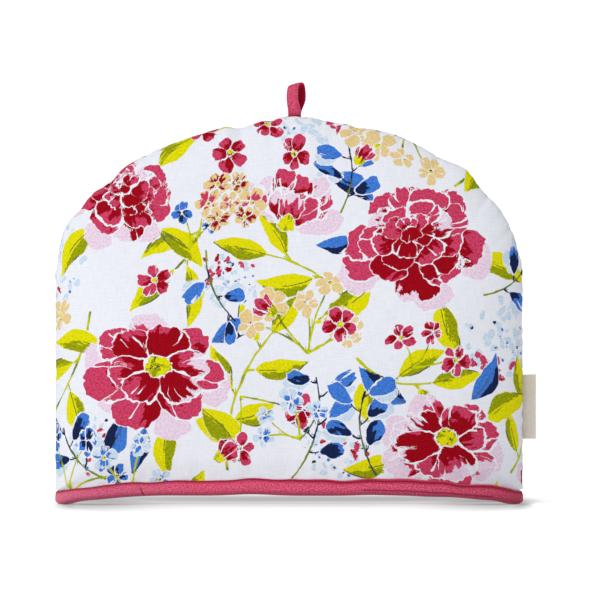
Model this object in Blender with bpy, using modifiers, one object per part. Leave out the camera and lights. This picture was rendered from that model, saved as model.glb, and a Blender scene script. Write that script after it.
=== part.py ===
"""A padded cotton tea cosy, standing open on its bound hem.

Two dome-shaped padded panels meet in a seam that runs up one side, over the crown and down the other.
A folded strip binds the hem, a loop stands in the crown seam, and a short tape label sticks out of the
right side seam. Metres, +Z up, front towards -Y. The origin is on the surface the cosy stands on, at the
middle of the whole object, label included.
"""

import math

import bmesh
import bpy
import numpy as np

# Overall sizes
WIDTH = 0.350           # seam to seam
HEIGHT = 0.290          # surface to crown seam
DEPTH = 0.110           # front to back, over the panels at the hem
SEAM_GAP = 0.0003       # between pieces that are sewn together

# Panels
WALL = 0.009            # padded thickness
SHOULDER = 0.169        # height at which the straight sides begin to round over
SIDE_POWER = 1.78       # roundness of the dome towards its sides
CROWN_POWER = 2.16      # roundness of the dome towards its crown
SIDE_SWELL = 2.0        # power of the swell from the side seams inwards
CROWN_SWELL = 1.15      # power of the swell from the crown down, near 1 for a straight slope
CORNER_ANGLE = math.radians(50)     # where the side edge of a panel's grid gives way to its top edge
PANEL_COLUMNS = 36
PANEL_ROWS = 18

# Soft dents and swellings of the dome's edge: place as an angle up from the right-hand hem corner, how
# far the edge stands out of the even curve, and how far along the edge it fades away
EDGE_WAVES = (
    {"place_deg": 49, "out": -0.0007, "fade_deg": 4.0},
    {"place_deg": 57, "out": -0.0012, "fade_deg": 1.8},
    {"place_deg": 61, "out": 0.0032, "fade_deg": 2.3},
    {"place_deg": 73, "out": 0.0023, "fade_deg": 4.5},
    {"place_deg": 84, "out": 0.0009, "fade_deg": 3.5},
    {"place_deg": 97, "out": -0.0028, "fade_deg": 1.9},
    {"place_deg": 108, "out": -0.0014, "fade_deg": 7.0},
    {"place_deg": 121, "out": -0.0028, "fade_deg": 3.4},
    {"place_deg": 127, "out": -0.0012, "fade_deg": 2.0},
    {"place_deg": 131, "out": 0.0013, "fade_deg": 2.6},
)

# Hem and binding
BINDING_HEIGHT = 0.0127
BINDING_HALF = 0.0050   # half the thickness of the rolled strip
BINDING_FLOOR = 0.0034  # cloth under the panels' raw edge
LIP = 0.0010            # the strip's thickness at its top edges
RAW_EDGE = 0.0046       # thickness of the panels where the binding squeezes them
SWELL_HEIGHT = 0.020    # above the binding, where the padding reaches its full thickness
HEM_LIFT = 0.0072       # how far the middle of the hem stands off the surface
REST_FROM = 0.157       # the hem lies on the surface from here out to its corners
LIFT_RUN = 0.060        # along the hem, from the surface to the full lift

# Hanging loop
LOOP_X = 0.0046
LOOP_WIDTH = 0.0090
LOOP_THICKNESS = 0.0019
LOOP_HEIGHT = 0.0265    # above the crown seam
LOOP_OPEN = 0.0088      # half spread that the teardrop is drawn from
LOOP_TURN = math.radians(19)        # the loop's turn about the vertical, clear of the seam
LOOP_SKEW = 0.16        # rise of its top edge across its width
LOOP_TAIL = 0.0068      # length sewn in below the crown
LOOP_STEPS = 26

# Side label
LABEL_BOTTOM = 0.048
LABEL_LENGTH = 0.050
LABEL_REACH = 0.0125    # how far it sticks out of the seam
LABEL_TAIL = 0.0070
LABEL_THICKNESS = 0.0012

# The label makes the object longer on one side, so the cosy's own middle is left of the origin.
MIDDLE_X = -LABEL_REACH / 2

HALF_WIDTH = WIDTH / 2
HALF_DEPTH = DEPTH / 2
DOME = HEIGHT - BINDING_HEIGHT      # crown above the binding


def clear_scene():
    """Removes what the file opened with."""
    for thing in list(bpy.data.objects):
        bpy.data.objects.remove(thing, do_unlink=True)


def make_collection(name):
    found = bpy.data.collections.new(name)
    bpy.context.scene.collection.children.link(found)
    return found


def cloth(name, colour, roughness):
    """A plain cloth material."""
    made = bpy.data.materials.new(name)
    made.use_nodes = True
    shader = made.node_tree.nodes["Principled BSDF"]
    shader.inputs["Base Color"].default_value = (*colour, 1)
    shader.inputs["Roughness"].default_value = roughness
    shader.inputs["Metallic"].default_value = 0
    return made


def smooth(amount):
    """0 to 1 with no corner at either end."""
    held = np.clip(amount, 0, 1)
    return held * held * (3 - 2 * held)


def seam_radius(angle):
    """The seam's distance from the middle of the binding's top line, at an angle up from the right.

    The dome is a superellipse standing on straight sides, and the lesser of the two distances is the edge.
    """
    turn = np.linspace(0, math.pi, 721)
    across = HALF_WIDTH * np.sign(np.cos(turn)) * np.abs(np.cos(turn)) ** (2 / SIDE_POWER)
    rise = (HEIGHT - SHOULDER) * np.sin(turn) ** (2 / CROWN_POWER)
    up = rise + SHOULDER - BINDING_HEIGHT
    dome = np.interp(angle, np.arctan2(up, across), np.hypot(across, up))
    side = HALF_WIDTH / np.maximum(np.abs(np.cos(angle)), 1e-6)
    radius = np.minimum(side, dome)
    for wave in EDGE_WAVES:
        away = (angle - math.radians(wave["place_deg"])) / math.radians(wave["fade_deg"])
        radius = radius + wave["out"] * np.exp(-away * away)
    return radius


def seam_point(angle):
    """Across and up from the middle of the binding's top line."""
    radius = seam_radius(angle)
    return np.stack([radius * np.cos(angle), radius * np.sin(angle)], axis=-1)


def hem_lift(across):
    """How far the hem stands off the surface, from nothing at the corners to an even arch."""
    risen = np.clip((REST_FROM - np.abs(across)) / LIFT_RUN, 0, 1)
    return HEM_LIFT * risen * (2 - risen)


def panel_grid():
    """Columns and rows of a flat dome, as across and up: a patch blended between its four edges.

    Columns crowd towards the side seams and rows towards the crown, where the padding rolls over.
    """
    u = (1 - np.cos(np.linspace(0, math.pi, PANEL_COLUMNS + 1))) / 2
    v = np.sin(np.linspace(0, math.pi / 2, PANEL_ROWS + 1))
    bottom = np.stack([WIDTH * u - HALF_WIDTH, np.zeros_like(u)], axis=-1)
    top = seam_point(math.pi - CORNER_ANGLE - u * (math.pi - 2 * CORNER_ANGLE))
    left = seam_point(math.pi - v * CORNER_ANGLE)
    right = seam_point(v * CORNER_ANGLE)
    u, v = u[None, :, None], v[:, None, None]
    edges = (1 - v) * bottom + v * top + (1 - u) * left[:, None] + u * right[:, None]
    corners = (1 - v) * ((1 - u) * bottom[0] + u * bottom[-1]) + v * ((1 - u) * top[0] + u * top[-1])
    return edges - corners


def wall_points(flat, below, inset):
    """The flat dome bent to its standing shape, for the front.

    flat is across and up, below is how far under the binding's top line a point hangs, and inset is how
    far it lies inside the fullest surface. The depth is sqrt(1 - part^swell), where part is 0 in the
    middle of the hem and 1 on the seam.
    """
    across, up = flat[..., 0], flat[..., 1]
    angle = np.arctan2(up, across)
    part = np.clip(np.hypot(across, up) / seam_radius(angle), 0, 1)
    swell = SIDE_SWELL + (CROWN_SWELL - SIDE_SWELL) * np.sin(angle) ** 2
    depth = (HALF_DEPTH - inset) * np.sqrt(1 - part ** swell)
    return np.stack([
        across * (1 - inset / HALF_WIDTH),
        -depth - SEAM_GAP / 2,
        BINDING_HEIGHT - below + up * (1 - inset / DOME) + hem_lift(across) * (1 - up / DOME),
    ], axis=-1)


def sheet_faces(rows, columns, first=0):
    """Quads over a grid of vertices that is numbered row by row."""
    index = first + np.arange(rows * columns).reshape(rows, columns)
    return np.stack([index[:-1, :-1], index[:-1, 1:], index[1:, 1:], index[1:, :-1]], axis=-1).reshape(-1, 4)


def border(rows, columns):
    """The vertices round the edge of such a grid, in order."""
    index = np.arange(rows * columns).reshape(rows, columns)
    return np.concatenate([index[0, :-1], index[:-1, -1], index[-1, :0:-1], index[:0:-1, 0]])


def add_mesh(name, points, faces, material, collection):
    """A smooth-shaded object at the cosy's middle, its faces turned outwards."""
    mesh = bpy.data.meshes.new(name)
    mesh.from_pydata(points.reshape(-1, 3).tolist(), [], faces.tolist())
    built = bmesh.new()
    built.from_mesh(mesh)
    bmesh.ops.recalc_face_normals(built, faces=built.faces)
    built.to_mesh(mesh)
    built.free()
    mesh.materials.append(material)
    mesh.shade_smooth()
    mesh.set_sharp_from_angle(angle=math.radians(40))
    made = bpy.data.objects.new(name, mesh)
    made.location.x = MIDDLE_X
    collection.objects.link(made)
    return made


def add_panel(name, side, material, collection):
    """One padded panel: a loft from its outer cloth to its inner one, thinned where the binding grips it."""
    flat = panel_grid()
    flat = np.concatenate([flat[:1], flat])
    below = np.zeros(flat.shape[:2])
    below[0] = BINDING_HEIGHT - BINDING_FLOOR - SEAM_GAP
    squeezed = (WALL - RAW_EDGE) / 2 * (1 - smooth(flat[..., 1] / SWELL_HEIGHT))
    points = np.stack([wall_points(flat, below, squeezed), wall_points(flat, below, WALL - squeezed)])
    points[..., 1] *= side
    rows, columns = flat.shape[:2]
    rim = border(rows, columns)
    turned = np.roll(rim, -1)
    inner = rows * columns
    loft = np.stack([rim, turned, turned + inner, rim + inner], axis=-1)
    faces = np.concatenate([sheet_faces(rows, columns), sheet_faces(rows, columns, inner), loft])
    return add_mesh(name, points, faces, material, collection)


def binding_profile():
    """The rolled strip cut across: outwards from the middle of the wall, and up from the surface.

    Half of it is listed from the middle of its flat underside to its channel, then mirrored.
    """
    channel = RAW_EDGE / 2 + SEAM_GAP
    half = np.array([
        (BINDING_HALF * 0.50, 0),
        (BINDING_HALF * 0.88, BINDING_HEIGHT * 0.11),
        (BINDING_HALF, BINDING_HEIGHT * 0.33),
        (BINDING_HALF, BINDING_HEIGHT * 0.58),
        (BINDING_HALF * 0.90, BINDING_HEIGHT * 0.84),
        (channel + LIP, BINDING_HEIGHT),
        (channel, BINDING_HEIGHT),
        (channel, BINDING_FLOOR),
    ])
    return np.concatenate([half, half[::-1] * (-1, 1)])


def add_binding(name, material, collection):
    """The strip carried round the mouth along the middle of the panels' raw edge."""
    flat = panel_grid()[0]
    front = wall_points(flat, 0, WALL / 2)
    front[..., 1] += SEAM_GAP / 2
    path = np.concatenate([front, front[-2:0:-1] * (1, -1, 1)])
    lift = hem_lift(np.concatenate([flat, flat[-2:0:-1]])[:, 0])
    along = np.roll(path, -1, axis=0) - np.roll(path, 1, axis=0)
    outward = np.stack([along[:, 1], -along[:, 0]], axis=-1)
    outward /= np.linalg.norm(outward, axis=1, keepdims=True)
    profile = binding_profile()
    points = np.empty((len(path) + 1, len(profile) + 1, 3))
    points[:-1, :-1, :2] = path[:, None, :2] + outward[:, None] * profile[None, :, :1]
    points[:-1, :-1, 2] = profile[:, 1] + lift[:, None]
    ring = sheet_faces(len(path) + 1, len(profile) + 1)
    row, column = np.divmod(ring, len(profile) + 1)
    faces = row % len(path) * len(profile) + column % len(profile)
    return add_mesh(name, points[:-1, :-1], faces, material, collection)


def add_loop(name, material, collection):
    """A folded strip: straight tails in the seam, then a teardrop that turns as it leaves the crown."""
    crown = float(seam_point(np.array(math.pi / 2))[1]) + BINDING_HEIGHT
    turn = np.linspace(0, 2 * math.pi, LOOP_STEPS + 1)
    tail = LOOP_THICKNESS / 2 + SEAM_GAP / 2
    spread = -LOOP_OPEN * np.sin(turn) * np.sin(turn / 2) - tail * np.cos(turn / 2)
    height = (LOOP_HEIGHT - LOOP_THICKNESS / 2) * (1 - np.cos(turn)) / 2
    spread = np.concatenate([[-tail], spread, [tail]])
    height = np.concatenate([[-LOOP_TAIL], height, [-LOOP_TAIL]])
    raised = smooth(height / (LOOP_HEIGHT / 2))
    angle = LOOP_TURN * raised
    across = np.array([-0.5, 0.5])[None] * LOOP_WIDTH
    cosine, sine = np.cos(angle)[:, None], np.sin(angle)[:, None]
    points = np.stack([
        LOOP_X + across * cosine + spread[:, None] * sine,
        spread[:, None] * cosine - across * sine,
        crown + height[:, None] + across * LOOP_SKEW * (raised * height / LOOP_HEIGHT)[:, None],
    ], axis=-1)
    made = add_mesh(name, points, sheet_faces(len(height), 2), material, collection)
    thick = made.modifiers.new("strip thickness", "SOLIDIFY")
    thick.thickness = LOOP_THICKNESS
    thick.offset = 0
    thick.use_even_offset = True
    return made


def add_block(name, low, high, collection):
    """A box from its lowest and highest corners, measured from the cosy's middle."""
    low, high = np.array(low), np.array(high)
    mesh = bpy.data.meshes.new(name)
    built = bmesh.new()
    bmesh.ops.create_cube(built, size=1)
    bmesh.ops.scale(built, vec=high - low, verts=built.verts)
    bmesh.ops.translate(built, vec=(low + high) / 2, verts=built.verts)
    built.to_mesh(mesh)
    built.free()
    made = bpy.data.objects.new(name, mesh)
    made.location.x = MIDDLE_X
    collection.objects.link(made)
    return made


def add_label(name, material, collection):
    """A folded tape in the plane of the right side seam."""
    half = LABEL_THICKNESS / 2
    low = (HALF_WIDTH - LABEL_TAIL, -half, LABEL_BOTTOM)
    high = (HALF_WIDTH + LABEL_REACH, half, LABEL_BOTTOM + LABEL_LENGTH)
    made = add_block(name, low, high, collection)
    made.data.materials.append(material)
    rounded = made.modifiers.new("folded edges", "BEVEL")
    rounded.width = LABEL_THICKNESS * 0.3
    rounded.segments = 1
    return made


def cut_pockets(panels, collection):
    """Room in the seam for the loop's tails and the label's, as each is sewn in between the panels."""
    leg = LOOP_THICKNESS + SEAM_GAP * 1.5
    side = LOOP_WIDTH / 2 + SEAM_GAP
    face = LABEL_THICKNESS / 2 + SEAM_GAP
    inner_x = HALF_WIDTH - LABEL_TAIL - SEAM_GAP
    floor = HEIGHT - LOOP_TAIL - SEAM_GAP
    cutters = (
        add_block("loop_pocket", (LOOP_X - side, -leg, floor), (LOOP_X + side, leg, HEIGHT + WALL), collection),
        add_block("label_pocket", (inner_x, -face, LABEL_BOTTOM - SEAM_GAP),
                  (HALF_WIDTH + WALL, face, LABEL_BOTTOM + LABEL_LENGTH + SEAM_GAP), collection),
    )
    for cutter in cutters:
        cutter.hide_render = True
        cutter.display_type = "WIRE"
        for panel in panels:
            cut = panel.modifiers.new(cutter.name, "BOOLEAN")
            cut.operation = "DIFFERENCE"
            cut.solver = "EXACT"
            cut.object = cutter


def main():
    clear_scene()
    parts = make_collection("tea_cosy")
    cutters = make_collection("cutters")
    printed = cloth("printed_cotton", (0.80, 0.81, 0.86), 0.85)
    lined = cloth("printed_cotton_back", (0.78, 0.79, 0.84), 0.85)
    pink = cloth("pink_binding_cotton", (0.52, 0.07, 0.14), 0.80)
    pink_strip = cloth("pink_loop_cotton", (0.58, 0.09, 0.18), 0.80)
    tape = cloth("label_tape", (0.68, 0.65, 0.58), 0.90)
    front = add_panel("front_panel", 1, printed, parts)
    back = add_panel("back_panel", -1, lined, parts)
    add_binding("hem_binding", pink, parts)
    add_loop("hanging_loop", pink_strip, parts)
    add_label("side_label", tape, parts)
    cut_pockets((front, back), cutters)


main()
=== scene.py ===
# %% [markdown]
# # A padded tea cosy in printed cotton
#
# A tea cosy is a padded cover that stands over a teapot. This one is two dome-shaped panels of printed
# cotton with wadding inside, sewn together round the dome. A folded pink strip binds the open hem, a loop of
# the same cotton stands in the crown seam, and a short woven tape is caught in the right-hand side seam.
#
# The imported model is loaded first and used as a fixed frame: every piece below stands in for one of its
# solids, in the same place and at the same size. Lengths are in metres unless a name says otherwise, +Z is
# up and the front faces -Y.

# %% Load the frame
import math
from functools import partial

import bmesh
import bpy
import numpy as np
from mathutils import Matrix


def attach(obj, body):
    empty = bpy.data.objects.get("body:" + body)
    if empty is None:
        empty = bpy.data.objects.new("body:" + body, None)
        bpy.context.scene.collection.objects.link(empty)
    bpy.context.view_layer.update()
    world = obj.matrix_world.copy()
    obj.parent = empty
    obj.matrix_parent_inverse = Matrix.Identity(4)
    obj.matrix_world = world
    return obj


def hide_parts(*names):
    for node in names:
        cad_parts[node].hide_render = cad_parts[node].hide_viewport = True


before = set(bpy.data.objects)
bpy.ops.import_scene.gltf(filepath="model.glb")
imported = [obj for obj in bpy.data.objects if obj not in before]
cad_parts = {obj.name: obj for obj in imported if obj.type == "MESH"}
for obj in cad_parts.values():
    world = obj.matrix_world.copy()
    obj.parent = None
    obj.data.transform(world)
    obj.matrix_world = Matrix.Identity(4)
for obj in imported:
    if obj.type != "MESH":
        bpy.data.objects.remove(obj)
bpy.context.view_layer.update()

print("packed solids:", sorted(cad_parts))

# %% [markdown]
# ## Camera, floor and light
#
# A long lens from five metres away keeps the cosy's outline nearly flat, as a catalogue picture does. The
# camera is level with the middle of the dome. The floor is a large white board under a white sky, so the
# board's far edge is lost in it. The board glows a little, as a light table does, which keeps the shadow
# under the arched hem pale. A soft painted shade in the board's own surface, in front of the cosy, under it
# and behind, tones the glow down there. It grows softer and rounder further out, as a shadow does, and a
# painted light makes the board lighter again under the raised middle of the hem. All the rest of the light
# is soft too: a broad lamp in front, high on the left, shapes the padding, a weak one behind lights the
# back, and the white sky fills in.

# %% Camera
CAMERA_AWAY, CAMERA_LENS_MM, SENSOR_MM, FURTHEST = 5.0, 400.0, 36.0, 50.0
FRAME_MIDDLE = (0.0026, 0.153)      # across and up, in the plane of the seam


def place_object(name, data):
    """A new object at the origin, in the scene."""
    made = bpy.data.objects.new(name, data)
    bpy.context.scene.collection.objects.link(made)
    return made


camera = place_object("catalogue_camera", bpy.data.cameras.new("catalogue_camera"))
camera.data.lens, camera.data.sensor_width, camera.data.clip_end = CAMERA_LENS_MM, SENSOR_MM, FURTHEST
camera.location = (FRAME_MIDDLE[0], -CAMERA_AWAY, FRAME_MIDDLE[1])
camera.rotation_euler = (math.pi / 2, 0, 0)
bpy.context.scene.camera = camera
print(f"the frame is {CAMERA_AWAY * SENSOR_MM / CAMERA_LENS_MM * 1000:.0f} mm wide at the seam")


# %% Small functions for colours and nodes
def linear(hex_colour):
    """An sRGB hex value as linear red, green, blue and alpha: c / 12.92 when dark, else a power of 2.4."""
    channels = np.array([int(hex_colour[i:i + 2], 16) for i in (1, 3, 5)]) / 255
    lit = np.where(channels <= 0.04045, channels / 12.92, ((channels + 0.055) / 1.055) ** 2.4)
    return (*lit.tolist(), 1.0)


def fill_in(node, inputs):
    """Gives each input of a node its value or its hex colour, or links it to another node's output."""
    for socket, value in inputs.items():
        if isinstance(value, bpy.types.Node):
            value = next(output for output in value.outputs if output.enabled)
        if isinstance(value, bpy.types.NodeSocket):
            node.id_data.links.new(value, node.inputs[socket])
        else:
            node.inputs[socket].default_value = linear(value) if isinstance(value, str) else value


def add_node(tree, kind, *values, **named):
    """Adds one shader node. Its values go to the inputs in use, in their order.

    What follows a dot in the kind is the node's operation, or a Mix's data type. A name with a capital is
    an input's, and any other is a setting's.
    """
    kind, _, choice = kind.partition(".")
    made = tree.nodes.new("ShaderNode" + kind)
    if choice:
        setattr(made, "data_type" if kind == "Mix" else "operation", choice)
    for name in filter(str.islower, named):
        setattr(made, name, named[name])
    in_use = [number for number, socket in enumerate(made.inputs) if socket.enabled]
    fill_in(made, dict(zip(in_use, values)) | {name: named[name] for name in named if name.istitle()})
    return made


def new_material(name):
    """A material, add_node for its tree, and its Principled shader."""
    made = bpy.data.materials.new(name)
    made.use_nodes = True
    return made, partial(add_node, made.node_tree), made.node_tree.nodes["Principled BSDF"]


# %% Floor and sky
FLOOR_HALF, BOARD_GLOW = 6.0, 0.70
SHADE_MIDDLE, NARROWING = -0.00175, 0.2
SHADE_EDGE, EDGE_SOFT, SOFTENING, ROUNDING = 0.1778, 0.0048, 0.12, 3.0
# The soft shade painted on the board: how deep, and ramps over how far to the side (A), how far past its
# side edge (E) and how far back (Y) a place is, multiplied. A ramp has the place where it is least, the
# place where it is 1, and its least. E counts in widths of the edge's own softness, which grows with the
# distance from the cosy, and the edge bends inwards there, so the painted shade ends in a round.
PAINTED_SHADES = (
    (0.53, (("E", 1, -1, 0), ("Y", -0.01, 0.12, 0), ("Y", 0.33, 0.15, 0))),        # behind the cosy
    (0.58, (("A", 0.06, 0.145, 0), ("E", 1, -1, 0), ("Y", -0.01, 0.06, 0), ("Y", 0.33, 0.15, 0))),
    (0.56, (("E", 1, -1, 0), ("A", 0.075, 0.155, 0.5), ("Y", -0.30, 0.0, 0), ("Y", 0.075, -0.01, 0))),
    (0.63, (("E", 1, -1, 0), ("A", 0.142, 0.172, 0), ("Y", -0.40, -0.01, 0), ("Y", 0.09, -0.01, 0))),
)
# Painted light: the board is made lighter where light comes through under the raised middle of the hem.
PAINTED_LIGHT_UNDER_HEM = (0.28, (("A", 0.15, 0.09, 0), ("Y", -0.052, -0.030, 0), ("Y", 0.008, -0.018, 0)))

board, add, shader = new_material("matt_white_board")
place = add("SeparateXYZ", add("TexCoord").outputs["Object"])
back = place.outputs["Y"]
# The painted shade spreads a little towards the front, so the sideways distance shrinks with it.
aside = add("Math.ABSOLUTE", add("Math.SUBTRACT", place.outputs["X"], SHADE_MIDDLE))
aside = add("Math.MULTIPLY", aside, add("Math.MULTIPLY_ADD", back, -NARROWING, 1.0))
far = add("Math.ABSOLUTE", back)
softness = add("Math.MULTIPLY_ADD", far, SOFTENING, EDGE_SOFT)
past_edge = add("Math.MULTIPLY_ADD", add("Math.POWER", far, 3.0), ROUNDING, aside)
past_edge = add("Math.DIVIDE", add("Math.SUBTRACT", past_edge, SHADE_EDGE), softness)
places = {"A": aside, "E": past_edge, "Y": back}


def soft_patch(deep, ramps):
    """Soft ramps, multiplied together and by a depth."""
    product = deep
    for axis, start, full, least in ramps:
        ramp = add("MapRange", places[axis], start, full, least, interpolation_type="SMOOTHSTEP")
        product = add("Math.MULTIPLY", product, ramp)
    return product


deepest = soft_patch(*PAINTED_SHADES[0])
for shade in PAINTED_SHADES[1:]:
    deepest = add("Math.MAXIMUM", deepest, soft_patch(*shade))
lit_share = add("Math.ADD", add("Math.SUBTRACT", 1.0, deepest), soft_patch(*PAINTED_LIGHT_UNDER_HEM))
tone = add("MapRange", add("TexNoise", Scale=60.0, Detail=2.0), 0, 1, 0.59, 0.61)
fill_in(shader, {"Base Color": add("Math.MULTIPLY", tone, lit_share), "Emission Color": lit_share,
                 "Emission Strength": BOARD_GLOW, "Roughness": 0.9, "Specular IOR Level": 0.1})

floor_mesh = bpy.data.meshes.new("floor")
turns = ((-1, -1), (1, -1), (1, 1), (-1, 1))
floor_mesh.from_pydata([(FLOOR_HALF * x, FLOOR_HALF * y, 0) for x, y in turns], [], [(0, 1, 2, 3)])
floor_mesh.materials.append(board)
floor = place_object("floor", floor_mesh)

sky = bpy.data.worlds.new("white_room")
sky.use_nodes = True
seen = add_node(sky.node_tree, "LightPath").outputs["Is Camera Ray"]
# It lights with the first strength, and is seen with the second.
strength = add_node(sky.node_tree, "MapRange", seen, 0, 1, 0.17, 1.1)
fill_in(sky.node_tree.nodes["Background"], {"Color": (1.0, 1.0, 1.0, 1.0), "Strength": strength})
bpy.context.scene.world = sky
bpy.context.scene.view_settings.view_transform = "Standard"

# %% Lamps
# Both are so far away that they light the whole board evenly, and wide enough for soft shadows. Each has a
# name, the direction that it stands in, its spread in degrees and its strength.
SOFT_LAMPS = (("broad_front", (-0.33, -0.52, 0.79), 50, 2.3), ("soft_behind", (0.30, 0.62, 0.72), 60, 0.3))
for name, (x, y, z), spread_deg, strength in SOFT_LAMPS:
    lamp = place_object(name, bpy.data.lights.new(name, "SUN"))
    lamp.data.angle, lamp.data.energy = math.radians(spread_deg), strength
    lamp.rotation_euler = (math.atan2(math.hypot(x, y), z), 0, math.atan2(y, x) + math.pi / 2)
print("soft lamps:", [name for name, *_ in SOFT_LAMPS])

# %% [markdown]
# ## The dome
#
# Each panel is a flat dome of cloth that the wadding swells outwards. Its edge is a superellipse standing on
# straight sides, with a few soft dents where the seam has pulled. The flat dome is bent to its standing
# shape by one formula: its depth is a power curve that is deepest at the middle of the hem and nothing on
# the seam. Sculpting could give the same shape, but a formula keeps both panels and their seam exact.

# %% Sizes
MIDDLE_X = -0.00555     # the cosy's own middle, left of the origin because the tape sticks out on the right
WIDTH, HEIGHT, DEPTH = 0.3514, 0.290, 0.110
SEAM_GAP = 0.0003
WALL = 0.009            # padded thickness
SHOULDER = 0.169        # where the straight sides begin to round over
SIDE_POWER, CROWN_POWER = 1.78, 2.16
SIDE_SWELL, CROWN_SWELL = 2.0, 1.15
CORNER_ANGLE = math.radians(50)
BINDING_HEIGHT, BINDING_HALF, BINDING_FLOOR = 0.0127, 0.0050, 0.0034
RAW_EDGE = 0.0046       # the panel's thickness in the binding
SWELL_RUN, END_RUN = 0.018, 0.0008      # height over which the padding swells: mid-panel and at its ends
HELD_OVER = (-0.0004, 0.0003)           # how far over the lip the cloth is held, likewise
HEM_LIFT, REST_FROM, LIFT_RUN = 0.0076, 0.172, 0.084
END_PULL = (0.0008, 0.0007)     # how far the hem is drawn in at the left and right side seams
HALF_WIDTH, HALF_DEPTH, DOME = WIDTH / 2, DEPTH / 2, HEIGHT - BINDING_HEIGHT
# Shallow waves of the hem along its arch: across, up and spread in millimetres.
HEM_WAVES = np.array([(-28, 1.1, 20), (62, 0.5, 14), (106, -0.7, 14), (157, 0.6, 8), (-158, 0.6, 9)]) / 1000
# How high the sewn strip reaches at places across, in millimetres: along the front (1) and the back (-1).
LIPS = {
    1: np.array([(-175, 10.0), (-150, 10.2), (-125, 11.3), (-108, 10.4), (-90, 11.0), (-70, 11.6),
                 (-28, 11.9), (10, 12.4), (28, 12.7), (40, 12.0), (55, 12.0), (90, 12.9), (116, 12.5),
                 (129, 11.0), (140, 11.1), (152, 11.7), (165, 11.2), (175, 10.6)]) / 1000,
    -1: np.array([(-175, 10.6), (-150, 11.2), (-110, 11.8), (-80, 12.2), (-30, 11.6), (10, 11.0),
                  (50, 10.8), (82, 11.4), (110, 12.2), (150, 10.8), (175, 10.0)]) / 1000,
}
# Dents and swellings of the dome's edge: place in degrees up from the right, how far out, and its spread.
EDGE_WAVES = np.array([
    (49, -0.0007, 4.0), (57, -0.0012, 1.8), (61, 0.0032, 2.3), (73, 0.0023, 4.5), (83, 0.0003, 3.0),
    (86.4, 0.0022, 1.3), (89.7, 0.0022, 1.8), (97, -0.0030, 2.1), (108, -0.0014, 7.0),
    (121, -0.0028, 3.4), (127, -0.0012, 2.0), (131, 0.0013, 2.6),
])


# %% Curves that the shapes share
def smooth(amount):
    """0 to 1 with no corner at either end: 3t^2 - 2t^3."""
    held = np.clip(amount, 0, 1)
    return held * held * (3 - 2 * held)


def bell(off):
    """A bell curve: exp(-off^2)."""
    return np.exp(-off * off)


def bells(where, table):
    """The summed bell curves of a table's rows, each a place, a height and a spread."""
    place, height, spread = table.T
    return (height * bell((where[..., None] - place) / spread)).sum(axis=-1)


def rounded(wave, power):
    """A superellipse's cosine or sine: its size to the power 2 / power, with its own sign."""
    return np.sign(wave) * np.abs(wave) ** (2 / power)


def running_length(points):
    """The length along a line of points, nothing at its first: straight steps, summed."""
    return np.append(0, np.cumsum(np.linalg.norm(np.diff(points, axis=0), axis=-1)))


def waves(places, lengths, seed):
    """A sum of sine waves of the given lengths, each with its own seeded shift."""
    shifts = np.random.default_rng(seed).uniform(0, 2 * math.pi, len(lengths))
    return np.sin(places[..., None] * 2 * math.pi / np.array(lengths) + shifts).sum(axis=-1)


# %% The dome's edge and its depth
def seam_radius(angle):
    """The seam's distance from the middle of the binding's top line: the lesser of side and superellipse."""
    turn = np.linspace(0, math.pi, 721)
    across = HALF_WIDTH * rounded(np.cos(turn), SIDE_POWER)
    up = (HEIGHT - SHOULDER) * rounded(np.sin(turn), CROWN_POWER) + SHOULDER - BINDING_HEIGHT
    dome = np.interp(angle, np.arctan2(up, across), np.hypot(across, up))
    straight = HALF_WIDTH / np.maximum(np.abs(np.cos(angle)), 1e-6)
    return np.minimum(straight, dome) + bells(np.degrees(angle), EDGE_WAVES)


def seam_point(angle):
    """A point of the seam as across and up, from its angle."""
    return seam_radius(angle)[..., None] * np.stack([np.cos(angle), np.sin(angle)], axis=-1)


def hem_lift(across):
    """How far the hem stands off the table: nothing at the corners, rising to an even arch."""
    risen = np.clip((REST_FROM - np.abs(across)) / LIFT_RUN, 0, 1)
    return HEM_LIFT * risen * (2 - risen) + bells(across, HEM_WAVES) * smooth(risen * 8)


def lip_height(across, side):
    """How high the sewn strip reaches."""
    return np.interp(across, *LIPS[side].T)


def over_lip(flat, side):
    """How far above the binding's edge a place is."""
    return flat[..., 1] + BINDING_HEIGHT - lip_height(flat[..., 0], side)


def end_pull(across):
    """How far the hem is drawn in towards the middle: nothing but near its two ends."""
    return np.where(across < 0, *END_PULL) * smooth((np.abs(across) / HALF_WIDTH - 0.88) / 0.12)


def on_dome(flat):
    """Angle and distance from the middle of the top line. Below that line the cloth hangs straight down."""
    up = np.maximum(flat[..., 1], 0)
    return np.arctan2(up, flat[..., 0]), np.hypot(flat[..., 0], up)


def dome_depth(flat):
    """The depth of the fullest surface: sqrt(1 - part^swell), part from 0 at the hem to 1 on the seam."""
    angle, far = on_dome(flat)
    part = np.clip(far / seam_radius(angle), 0, 1)
    swell = SIDE_SWELL + (CROWN_SWELL - SIDE_SWELL) * np.sin(angle) ** 2
    return np.sqrt(np.maximum(1 - part ** swell, 0))


def stand(flat, inset):
    """The flat dome bent to its standing shape: drawn in by the inset, and lifted along the hem's arch."""
    across, up = flat[..., 0], flat[..., 1]
    return np.stack([
        across * (1 - inset / HALF_WIDTH),
        -(HALF_DEPTH - inset) * dome_depth(flat) - SEAM_GAP / 2,
        BINDING_HEIGHT + up * (1 - np.where(up > 0, inset, 0) / DOME) + hem_lift(across) * (1 - up / DOME),
    ], axis=-1)


# %% A grid over the dome
COLUMNS, ROWS, COARSER = 360, 248, 4    # cells of the outer cloth, and how much coarser its hidden side is
FOOT_ROWS, FOOT = 8, BINDING_HEIGHT - BINDING_FLOOR - SEAM_GAP     # the cloth that runs into the binding


def even_steps(count, run, swell):
    """Places from 0 to 1 that lie evenly along the bent cloth, by its summed length."""
    part = np.sin(np.linspace(0, math.pi / 2, 2000))
    length = running_length(np.stack([part * run, HALF_DEPTH * np.sqrt(1 - part ** swell)], axis=-1))
    return np.interp(np.linspace(0, length[-1], count + 1), length, part)


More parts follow.
